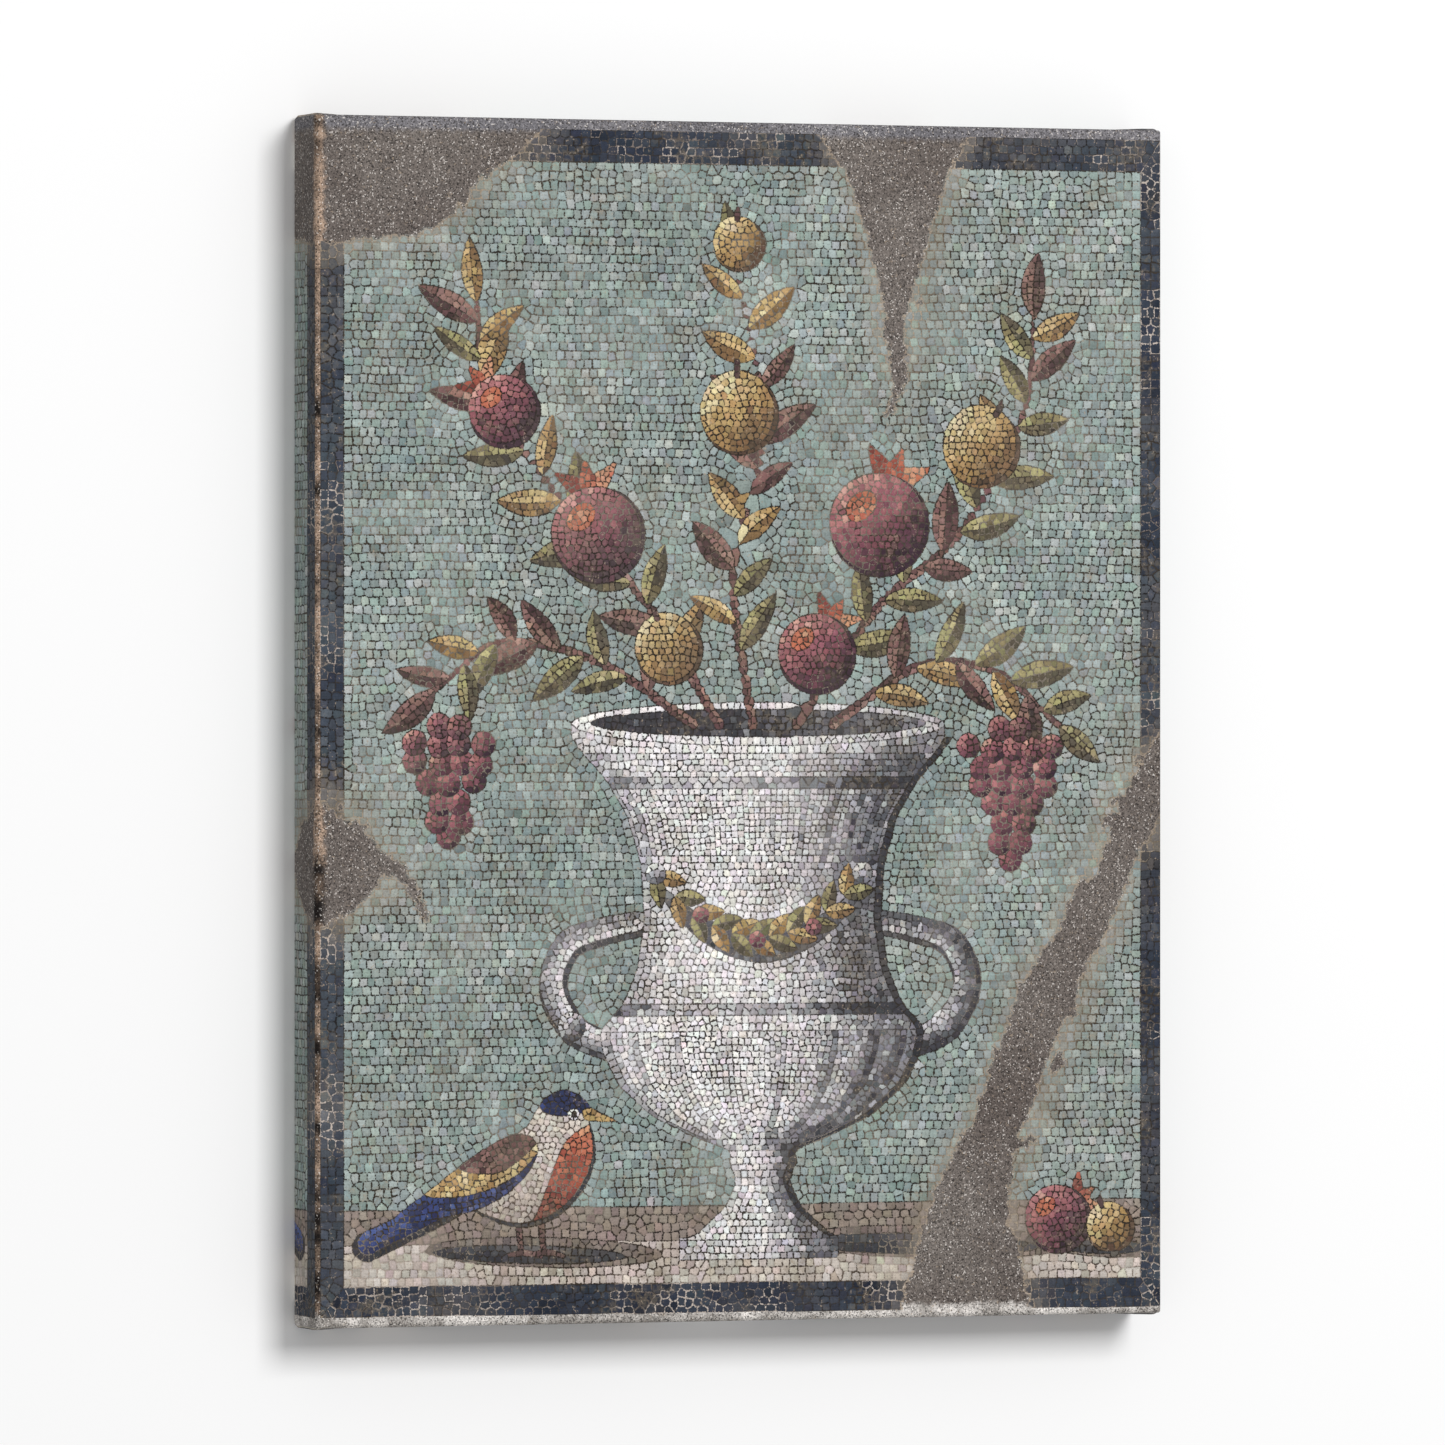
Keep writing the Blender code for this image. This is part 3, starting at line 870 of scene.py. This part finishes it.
def within(soup, low, high):
    """Only what lies inside the box from low to high."""
    for axis in (ACROSS, UP):
        place = soup[:, :, axis]
        near = soup[(place.max(1) > low[axis]) & (place.min(1) < high[axis])]
        soup = cut(near, axis, low[axis], high[axis])
        middle = soup[:, :, axis].mean(1)
        soup = soup[(middle > low[axis]) & (middle < high[axis])]
    return soup


def mirrored(soup, across, up):
    """Turned over across the mirror lines on the named sides: -1, 0 or 1 for each way."""
    soup = soup.copy()
    for axis, side in enumerate((across, up)):
        if side:
            soup[:, :, axis] = side * 2 * MIRROR[axis] - soup[:, :, axis]
            soup = soup[:, [0, 2, 1]]
    return soup


def plain(across, up, part, inner):
    """A plain part of the cloth as a grid of two triangles to each place; the inner side faces inwards."""
    p, q = np.meshgrid(np.sort(across), np.sort(up))
    points = np.stack([p, q] + [np.full_like(p, k) for k in (inner, 0, -1, part)], -1)
    a, b, c, d = points[:-1, :-1], points[:-1, 1:], points[1:, 1:], points[1:, :-1]
    soup = np.concatenate([np.stack(k, 2).reshape(-1, 3, 6) for k in ((a, b, c), (a, c, d))])
    return soup[:, ::-1] if inner else soup


def seam(axis, turned, *edges):
    """The strip between two edges of the cloth. Each edge is a soup and the value of that coordinate
    along it. The strip's triangles take whichever edge's next point comes first, and the cloth lies to
    the left of the first edge, or to its right where it is turned."""
    lines, shares = [], []
    for soup, at in edges:
        points = soup.reshape(-1, 6)
        points = points[np.abs(points[:, axis] - at) < 1e-8]
        _, index = np.unique(np.round(points[:, 1 - axis] * 1e8), return_index=True)
        step = np.diff(points[index, 1 - axis])
        lines.append(points[index])
        shares.append(np.cumsum(step) / step.sum())
    if turned:
        lines, shares = lines[::-1], shares[::-1]
    first, second = lines
    order = np.argsort(np.concatenate([shares[0], shares[1] + 1e-7]), kind="stable")
    from_first = order < len(first) - 1
    i = np.concatenate([[0], np.cumsum(from_first)])
    j = np.concatenate([[0], np.cumsum(~from_first)])
    new = np.where(from_first[:, None], first[i[1:]], second[j[1:]])
    strip = np.stack([first[i[:-1]], new, second[j[:-1]]], 1)
    strip[:, :, INSET], strip[:, :, STONE] = 0, -1
    return strip


def cover(fans):
    """The whole cloth as one closed skin: printed stones on the front, sides and the turned-over edge,
    plain cloth past the print and on the inside, and the cloth's cut edge between."""
    w, h = HALF
    past, curl = w + OVERHANG, w + OVERHANG * 0.55
    arc = np.linspace(0, 1, 5)
    front_arc, back_arc = arc * ARC, SIDE_ENDS + arc * ARC
    gaps = np.array([0.003, 0.007, 0.011, 0.016, 0.022, 0.028, 0.034, 0.040])
    columns = np.concatenate([np.linspace(0.05 - w, w - 0.05, 9), w - gaps, gaps - w, [-w, w]])
    wide_columns = np.concatenate([columns, [-past, -curl, curl, past]])
    rows = np.linspace(-h, h, 19)
    tall_rows = np.concatenate([-h - front_arc[1:], rows, h + front_arc[1:]])
    wrap = np.concatenate([front_arc, np.linspace(SIDE_STARTS, SIDE_ENDS, 8)[1:-1], back_arc])
    bare = np.linspace(PRINT_ENDS + 0.0006, CLOTH_ENDS, 4)
    flap = np.linspace(BACK_STARTS, CLOTH_ENDS, 7)
    picture = cut(cut(fans, ACROSS, w, -w), UP, h, -h)
    parts = [within(picture, (-w, -h), (w, h)), plain(columns, rows, FRONT, 1)]
    for side in (1, -1):
        # the top or bottom part, down to the end of the print, then its bare edge and its inside
        ends = sorted((side * h, side * (h + PRINT_ENDS)))
        whole = np.concatenate([picture, mirrored(picture, 0, side)])
        ink = within(whole, (-past, ends[0]), (past, ends[1]))
        ink = cut(ink, UP, *side * (h + front_arc[1:]), *side * (h + back_arc))
        ink = cut(ink, ACROSS, w, -w, curl, -curl)
        ink[..., PART] = TOP
        edge = plain(wide_columns, side * (h + bare), TOP, 0)
        join = seam(UP, side < 0, (ink, side * (h + PRINT_ENDS)), (edge, side * (h + bare[0])))
        outer = np.concatenate([ink, edge, join])
        inner = plain(wide_columns, side * (h + np.concatenate([wrap, flap[1:]])), TOP, 1)
        parts += [outer, inner]
        for way in (1, -1):
            parts.append(seam(ACROSS, way > 0, (outer, way * past), (inner, way * past)))
        parts.append(seam(UP, side < 0, *((k, side * (h + CLOTH_ENDS)) for k in (outer, inner))))
        # the left or right part: its side runs on round the corner edges, its flap doesn't
        whole = np.concatenate([mirrored(picture, across, up) for across in (0, side) for up in (0, 1, -1)])
        ends = sorted((side * w, side * (w + BACK_STARTS)))
        ink = within(whole, (ends[0], -h - ARC), (ends[1], h + ARC))
        ink = cut(ink, ACROSS, *side * (w + front_arc[1:]), *side * (w + back_arc[:-1]))
        for t in h + front_arc[:-1]:
            ink = cut(ink, UP, t, -t)
        ends = sorted((side * (w + BACK_STARTS), side * (w + PRINT_ENDS)))
        turned = within(whole, (ends[0], -h), (ends[1], h))
        ink[..., PART] = turned[..., PART] = SIDE
        edge = plain(side * (w + bare), rows, SIDE, 0)
        join = seam(ACROSS, side > 0, (turned, side * (w + PRINT_ENDS)), (edge, side * (w + bare[0])))
        inner = plain(side * (w + wrap), tall_rows, SIDE, 1)
        outer_flap = np.concatenate([turned, edge])
        inner_flap = plain(side * (w + flap), rows, SIDE, 1)
        parts += [ink, outer_flap, join, inner, inner_flap]
        for way in (1, -1):
            parts.append(seam(UP, way < 0, *((k, way * (h + ARC)) for k in (ink, inner))))
            parts.append(seam(UP, way < 0, *((k, way * h) for k in (outer_flap, inner_flap))))
        flaps = ((k, side * (w + CLOTH_ENDS)) for k in (outer_flap, inner_flap))
        parts.append(seam(ACROSS, side > 0, *flaps))
    return np.concatenate(parts)


# The reach of the corner's folded layers on the back, their height under the top and bottom parts, the
# curl of the edges over them, the waves along the sides and the bow of the front
TUCK, FOLDED, CURL, WAVE, BOW = 0.031, 0.00105, 0.0006, 0.00012, 0.00035


def on_frame(soup):
    """Where each corner of the flat cloth lies on the frame. t is how far it is past the front's flat
    part: a quarter turn of the fold radius, the straight side, a second quarter turn and the back. The
    left and right parts carry on round the corner's tight edge. The top and bottom parts stand off by
    the folded layers under them, with a curl at their edges. Loose cloth waves along the sides and
    bows a little on the front."""
    p, q, inner = np.moveaxis(soup[..., :3], -1, 0)
    across, up = np.abs(p), np.abs(q)
    is_top, is_side = soup[..., PART] == TOP, soup[..., PART] == SIDE
    t = np.where(is_top, up - HALF[1], np.where(is_side, across - HALF[0], 0))
    tucked = np.where(t < BACK_STARTS, np.clip(t, 0, SIDE_ENDS), TUCK)
    layers = ((across - HALF[0] + tucked) / 0.007).clip(0, 1)
    layers = layers**2 * (3 - 2 * layers) * np.clip(t / 0.009, 0, 1) ** 1.2
    curl = ((across - HALF[0] - OVERHANG * 0.4) / (OVERHANG * 0.6)).clip(0, 1) ** 2
    straight = np.clip(t - SIDE_STARTS, 0, SIDE_ENDS - SIDE_STARTS)
    slack = np.sin(straight / (SIDE_ENDS - SIDE_STARTS) * np.pi) * np.sin(np.where(is_top, p, q) * 148)
    hollow = np.clip(1 - across / HALF[0], 0, 1) * np.clip(1 - up / HALF[1], 0, 1)
    lift = np.where(is_top, FOLDED * layers - CURL * curl * layers, 0)
    lift += np.where(t > 0, WAVE * slack, BOW * hollow * (np.sin(p * 21 + 1) * np.cos(q * 17)))
    radius = FOLD_RADIUS - inner * CLOTH + lift
    front_turn = np.clip(t / FOLD_RADIUS, 0, math.pi / 2)
    back_turn = np.clip((t - SIDE_ENDS) / FOLD_RADIUS, 0, math.pi / 2)
    out = radius * np.sin(front_turn) * np.cos(back_turn) - np.maximum(t - BACK_STARTS, 0)
    y = FRONT_Y + FOLD_RADIUS - radius * np.cos(front_turn) + straight + radius * np.sin(back_turn)
    past = np.maximum(across - HALF[0], 0) * np.clip(t / 0.007, 0, 1) ** 2
    x_top = np.sign(p) * (np.minimum(across, HALF[0]) + past)
    corner = np.clip((up - HALF[1]) / FOLD_RADIUS, 0, math.pi / 2)
    x_side = np.sign(p) * (HALF[0] + out * np.cos(corner) ** 0.4)
    z_side = np.where(up > HALF[1], np.sign(q) * (HALF[1] + out * np.sin(corner) ** 0.4), q)
    x = np.where(is_top, x_top, np.where(is_side, x_side, p))
    z = np.where(is_top, np.sign(q) * (HALF[1] + out), np.where(is_side, z_side, q))
    return np.stack([x, y, z + MIDDLE_Z], -1)


drawing = draw_still_life()
stone_grid, stone_middles = lay_stones(drawing)
stone_count = len(stone_middles)
stone_grid = without_crumbs(stone_grid, stone_middles, drawing.shape)
stone_grid = without_odd_stones(stone_grid, stone_count, drawing.shape)
stone_middles = middles(stone_grid, stone_count)
lost_ground, worn_ground = draw_losses()
colours, grouts, families = stone_colours(drawing, stone_grid, stone_count, worn_ground)
cloth = cover(stone_fans(stone_grid, stone_count))

# Corners at the same thousandth of a millimetre become one, and triangles with two such corners go
places = on_frame(cloth)
rounded = np.round(places.reshape(-1, 3) * 1e6 + 0.37).astype(int)
_, first, joint = np.unique(rounded, axis=0, return_index=True, return_inverse=True)
joint = joint.reshape(-1, 3)
whole = (joint != np.roll(joint, 1, 1)).all(1)
cloth, joint = cloth[whole], joint[whole]


def printed_colours(soup):
    """Each corner's colour: its stone's, a little lighter towards the light that the mosaic was seen
    in, or where the stones are gone the mortar's at that point. Past the mirror lines the picture is
    read backwards. Then the grout's colours, and which corners are mortar."""
    past = np.abs(soup[..., :2]) - MIRROR
    read = soup[..., :2] - 2 * np.maximum(past, 0) * np.sign(soup[..., :2])
    x, y = np.moveaxis(read * 1000 + PICTURE / 2, -1, 0)
    stone = soup[:, 0, STONE].astype(int)
    tint = 0.35 * soft_noise(x, y, 9, 60) + 0.65 * soft_noise(x, y, 55, 63)
    blotch = 0.5 * soft_noise(x, y, 5, 64) + 0.5 * soft_noise(x, y, 19, 65) - 0.5
    blotch = np.clip(0.45 + 2.4 * blotch, 0, 1)
    ground = np.zeros(soup[..., :3].shape)
    # the mortar of the whole ground, then of the top, left and bottom strips over it
    for place, dark, light, share in (
        (x > -9, (104, 94, 89), (136, 128, 122), tint),
        (y > PICTURE[1] - 6, (112, 110, 115), (146, 143, 147), tint),
        (x < 3.6, (34, 28, 25), (200, 172, 150), blotch),
        (y < 6, (170, 164, 158), (242, 236, 230), blotch),
    ):
        share = share[..., None]
        mixed = linear(dark) * (1 - share) + linear(light) * share
        ground = np.where(place[..., None], mixed, ground)
    steps = (np.floor(k / s).astype(int) for k, s in zip((x, y), GRID_STEP))
    i, j = (np.clip(k, 0, n - 1) for k, n in zip(steps, GRID))
    lost = lost_ground[j, i] | ((families[stone] == MORTAR) | (stone < 0))[:, None]
    middle_x, middle_y = stone_middles[stone].T[..., None]
    toward_light = 0.8 * (y - middle_y) - 0.6 * (x - middle_x)
    shaded = colours[stone][:, None] * (1 + 0.045 * np.clip(toward_light, -2, 2))[..., None]
    around = np.broadcast_to(grouts[stone][:, None], shaded.shape)
    return np.where(lost[..., None], ground, shaded), around, lost


corner_colours, corner_grouts, mortar = printed_colours(cloth)
mesh = bpy.data.meshes.new("printed_canvas")
mesh.from_pydata(places.reshape(-1, 3)[first].tolist(), [], joint.tolist())
for name, values in (("stone_colour", corner_colours), ("grout_colour", corner_grouts)):
    layer = mesh.color_attributes.new(name, "FLOAT_COLOR", "CORNER")
    layer.data.foreach_set("color", np.concatenate([values, np.ones(joint.shape + (1,))], 2).ravel())
bare = cloth[..., STONE] < 0
for name, values in (("stone_inset", cloth[..., INSET]), ("mortar", mortar), ("bare", bare)):
    layer = mesh.attributes.new(name, "FLOAT", "CORNER")
    layer.data.foreach_set("value", values.astype(np.float32).ravel())
threads = mesh.uv_layers.new(name="threads")
threads.data.foreach_set("uv", cloth[..., :2].ravel())

# The map for baking: the cloth laid flat, its inner side in one corner that is cut out, at the
# scale of the cut-out's size to the cloth's, and its cut edges in six rows in another
CUT_OUT, SMALL, ROW = 0.0395, 0.0885, 0.008
flat = cloth[..., :2] + 0
flat[..., 1] += np.where(cloth[..., PART] == TOP, np.sign(flat[..., 1]) * 0.006, 0)
inner = cloth[..., INNER]
back = inner.min(1) > 0
rim = ~back & (inner.max(1) > 0)
flat[back] = HALF + CUT_OUT + SMALL * flat[back]
edges = cloth[rim]
upward = np.ptp(edges[..., UP], 1) > np.ptp(edges[..., ACROSS], 1)
row_up = 4 + (edges[:, 0, ACROSS] < 0)
row_across = 2 * (edges[:, 0, PART] == TOP) + (edges[:, 0, UP] < 0)
row = np.where(upward, row_up, row_across)[:, None]
run = np.where(upward[:, None], edges[..., UP], edges[..., ACROSS])
flat[rim] = np.stack([SMALL * run - CUT_OUT, ROW / 2 * inner[rim] - ROW * row - 0.014], -1) - HALF
bake_map = mesh.uv_layers.new(name="OFBake")
bake_map.data.foreach_set("uv", ((flat / (HALF + CLOTH_ENDS + 0.008) + 1) / 2).ravel())
mesh.uv_layers.active = threads
mesh.shade_smooth()


def in_scene(name, data):
    """A new object in the scene, at the origin."""
    made = bpy.data.objects.new(name, data)
    bpy.context.scene.collection.objects.link(made)
    return made


canvas = in_scene("printed_canvas", mesh)


def printed_cloth():
    """Ink on canvas: each stone's own colour, mottled, with grout between and mortar where stones are
    gone; a thin satin coat over the threads; plain cotton where nothing is printed. Ink and cotton
    are both painted darker down between the threads and lighter on them: painted shade of the weave."""
    recipe = Recipe("printed canvas")
    where = recipe.place((1000, 1000, 1000))
    stone, grout, inset, mortar, bare = (
        recipe.node("ShaderNodeAttribute", {"attribute_name": name}, output=output)
        for name, output in (
            ("stone_colour", 0), ("grout_colour", 0), ("stone_inset", 2), ("mortar", 2), ("bare", 2),
        )
    )
    chips, lumps = (recipe.noise(where, scale, 2.0, 0.6).step(0.32, 0.68) for scale in (0.95, 0.30))
    grit = recipe.node("ShaderNodeTexVoronoi", None, {"Vector": where, "Scale": 1.55}, "Color") * 1.0
    grime = recipe.noise(where, 0.045, 4.0, 0.62).step(0.46, 0.64)
    edge = inset + (chips - 0.5) * 0.62 + (lumps - 0.5) * 0.34 - grime * 0.12
    on_stone = edge.step(0.10, 0.36)
    tone = 0.68 + lumps * 0.18 + grit * 0.24 + inset.step(0.1, 1.1) * 0.14
    face = recipe.shaded(stone, tone)
    face = recipe.blend(chips.step(0.72, 0.98) * 0.45, face, recipe.shaded(stone, 0.55))
    face = recipe.blend(grime * lumps.step(0.3, 0.8) * 0.42, face, srgb(112, 101, 82))
    joints = recipe.shaded(grout, 0.66 + grit * 0.6)
    joints = recipe.blend(grime * 0.6, joints, srgb(56, 47, 36))
    ink = recipe.blend(on_stone, joints, face)
    # mortar: sharp sand with pale and dark grains, crumbling into a beige rim at the stones
    bed = recipe.shaded(stone, 0.12 + grit * 1.1 + lumps * 0.14)
    bed = recipe.blend(grit.step(0.80, 0.88) * 0.7, bed, srgb(220, 214, 208))
    bed = recipe.blend(grit.step(0.30, 0.2) * 0.6, bed, srgb(40, 35, 34))
    crumbled = mortar + (chips - 0.5) * 0.4 + (lumps - 0.5) * 0.5
    ink = recipe.blend(crumbled.step(0.44, 0.56), ink, bed)
    rim = crumbled.step(0.3, 0.45) * crumbled.step(0.7, 0.55)
    ink = recipe.blend(rim * 0.6, ink, srgb(176, 158, 138))
    # a plain weave, its two sets of threads 0.74 and 0.70 mm apart, with thick places in the threads
    threads = recipe.node("ShaderNodeUVMap", {"uv_map": "threads"})
    uneven = (chips - 0.5) * 0.8
    warp, weft = (
        recipe.node("ShaderNodeSeparateXYZ", None, {0: threads}, output=k) * (math.pi / pitch) + uneven
        for k, pitch in enumerate((0.00074, 0.00070))
    )
    weave = warp.sine().size() * (0.5 + 0.5 * weft.sine()) + weft.sine().size() * (0.5 - 0.5 * warp.sine())
    # painted shade: the bare cotton is darker where the threads dip and lighter on their crowns
    cotton = recipe.blend(weave, srgb(206, 199, 184), srgb(240, 236, 226))
    level, upright = (
        recipe.noise(recipe.place(stretch), 1.0, 2.0).step(0.58, 0.72)
        for stretch in ((50, 1, 1500), (1500, 1, 50))
    )
    cotton = recipe.blend((level + upright) * 0.35, cotton, srgb(196, 184, 160))
    # painted shade: the ink is a little darker where the threads dip and lighter on their crowns
    colour = recipe.blend(bare, recipe.shaded(ink, 0.93 + weave * 0.1), cotton)
    rough = 0.6 + bare * 0.3 + grit * 0.06
    return recipe.finish(colour, rough, weave, 0.00005, Specular_IOR_Level=0.13)


mesh.materials.append(printed_cloth())
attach(canvas, "root")
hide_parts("canvas")
tuple(2 * (HALF + CLOTH_ENDS))


# Staples: flat steel wire, driven through the cloth into the back of the bars every 37 mm or so
# by hand, so that none is quite straight.

WIRE_WIDTH, WIRE_HEIGHT, WIRE_BEND = 0.0012, 0.0005, 0.0006
CROWN, LEG = 0.0115, 0.004
STAPLE_INSET = 0.016


def staple_shape():
    """One staple about its middle: the wire's flat section carried up a leg, across the crown and down
    again. Gives its points, across, along and out, and its faces."""
    bend = np.linspace(0, math.pi / 2, 4)
    rise, turn_in = WIRE_BEND * (np.sin(bend) - 1), WIRE_BEND * (1 - np.cos(bend))
    half = CROWN / 2
    x = np.concatenate([[-half], turn_in - half, half - turn_in[::-1], [half]])
    y = np.concatenate([[-LEG], rise, rise[::-1], [-LEG]])
    path = np.stack([x, y], 1)
    way = np.gradient(path, axis=0)
    way /= np.linalg.norm(way, axis=1)[:, None]
    out = np.stack([-way[:, 1], way[:, 0]], 1)
    ring = np.array([(-1, 0), (-1, 0.7), (-0.7, 1), (0.7, 1), (1, 0.7), (1, 0)])
    section = path[:, None] + out[:, None] * ring[None, :, 1:] * WIRE_HEIGHT
    side = np.broadcast_to(ring[None, :, 0] * WIRE_WIDTH / 2, section.shape[:2])
    n, m = len(path), len(ring)
    i, k = np.meshgrid(np.arange(n - 1), np.arange(m), indexing="ij")
    after = (k + 1) % m
    faces = np.stack([i * m + after, (i + 1) * m + after, (i + 1) * m + k, i * m + k], -1)
    return np.stack([section[..., 0], side, section[..., 1]], -1).reshape(-1, 3), faces.reshape(-1, 4)


def staple_row(start, end, count, seed):
    """Where the staples of a row stand, across and up, and how each is turned."""
    rng = np.random.default_rng(seed)
    share = (np.arange(count) + 0.5) / count + rng.uniform(-0.12, 0.12, count) / count
    middle = np.array(start) + share[:, None] * (np.array(end) - np.array(start))
    turn = math.atan2(end[1] - start[1], end[0] - start[0]) + rng.uniform(-0.16, 0.16, count)
    return np.column_stack([middle, turn])


half_width, half_height = WIDTH / 2 - STAPLE_INSET, HEIGHT / 2 - STAPLE_INSET
top, bottom = MIDDLE_Z + half_height, MIDDLE_Z - half_height
stand = np.concatenate([
    staple_row((0.03 - half_width, top), (half_width - 0.03, top), 10, 1),
    staple_row((0.03 - half_width, bottom), (half_width - 0.03, bottom), 10, 2),
    staple_row((-half_width, bottom + 0.02), (-half_width, top - 0.02), 14, 3),
    staple_row((half_width, bottom + 0.02), (half_width, top - 0.02), 14, 4),
])
shape, faces = staple_shape()
px, pz, turn = stand.T[..., None]
px, pz = (
    px + np.cos(turn) * shape[:, 0] - np.sin(turn) * shape[:, 1],
    pz + np.sin(turn) * shape[:, 0] + np.cos(turn) * shape[:, 1],
)
py = np.broadcast_to(BACK_Y - 0.0001 + shape[:, 2], px.shape)
faces = faces[None] + (np.arange(len(stand)) * len(shape))[:, None, None]
staple_mesh = bpy.data.meshes.new("staples")
staple_mesh.from_pydata(np.stack([px, py, pz], -1).reshape(-1, 3).tolist(), [], faces.reshape(-1, 4).tolist())
staples = in_scene("staples", staple_mesh)
steel = Recipe("staple steel")
scratch = steel.noise(steel.place((900, 900, 900)), 1.0, 2.0)
staple_mesh.materials.append(steel.finish(srgb(176, 176, 174), 0.28 + scratch * 0.2, Metallic=1.0))
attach(staples, "root")


# The stage: a pale wall just behind the picture, a pale floor well below it, a broad soft lamp
# from the upper right and pale light all round. The wall and floor show from the front alone.

WALL_Y, FLOOR_Z, ROOM = 0.0142, -1.6, 12.0


def backdrop(name, near, far, grey):
    """A broad matt sheet between two level lines, each at its own y and z, clear from behind."""
    mesh = bpy.data.meshes.new(name)
    corners = (-ROOM, *near), (ROOM, *near), (ROOM, *far), (-ROOM, *far)
    mesh.from_pydata(corners, [], [(0, 1, 2, 3)])
    piece = in_scene(name, mesh)
    recipe = Recipe(name)
    recipe.finish((grey, grey, grey, 1.0), 0.9, Specular_IOR_Level=0.0)
    behind = recipe.node("ShaderNodeNewGeometry", output=6)
    clear = recipe.node("ShaderNodeBsdfTransparent")
    plaster = Wire(recipe, recipe.shader.outputs[0])
    seen = recipe.node("ShaderNodeMixShader", None, {0: behind, 1: plaster, 2: clear})
    recipe.tree.links.new(seen.socket, recipe.tree.nodes["Material Output"].inputs["Surface"])
    mesh.materials.append(recipe.material)
    piece.visible_diffuse = piece.visible_glossy = piece.visible_transmission = piece.visible_shadow = False


backdrop("wall", (WALL_Y, FLOOR_Z), (WALL_Y, ROOM), 0.95)
backdrop("floor", (WALL_Y - ROOM, FLOOR_Z), (WALL_Y, FLOOR_Z), 0.93)

world = bpy.data.worlds.new("pale light")
bpy.context.scene.world = world
world.use_nodes = True
world.node_tree.nodes["Background"].inputs["Color"].default_value = (1.0, 1.0, 1.0, 1.0)
world.node_tree.nodes["Background"].inputs["Strength"].default_value = 0.48

MIDDLE = Vector((0.0, FRONT_Y, MIDDLE_Z))


def lamp(name, azimuth, elevation, distance, size, power):
    """A square soft lamp that faces the picture from that direction in front of it."""
    a, e = math.radians(azimuth), math.radians(elevation)
    toward = Vector((math.sin(a) * math.cos(e), -math.cos(a) * math.cos(e), math.sin(e)))
    light = bpy.data.lights.new(name, "AREA")
    light.size, light.energy = size, power
    holder = in_scene(name, light)
    holder.location = MIDDLE + toward * distance
    holder.rotation_euler = toward.to_track_quat("Z", "Y").to_euler()


lamp("key lamp", 14, 22, 6.0, 2.2, 240)

# The camera of the photograph, found from the picture's corners: 5.7 m off, to the left, level
TURN, LENS, DISTANCE, OFFSET, RISE = math.radians(19.76), 279.06, 5.696, -0.0113, -0.0005
camera = bpy.data.cameras.new("camera")
camera.lens, camera.sensor_width = LENS, 36.0
camera.clip_start, camera.clip_end = 0.1, 60.0
viewer = in_scene("camera", camera)
ahead = Vector((math.sin(TURN), math.cos(TURN), 0.0))
across = Vector((math.cos(TURN), -math.sin(TURN), 0.0))
viewer.location = MIDDLE - ahead * DISTANCE + across * OFFSET + Vector((0, 0, RISE))
viewer.rotation_euler = (math.pi / 2, 0.0, -TURN)
bpy.context.scene.camera = viewer
bpy.context.scene.view_settings.view_transform = "Standard"
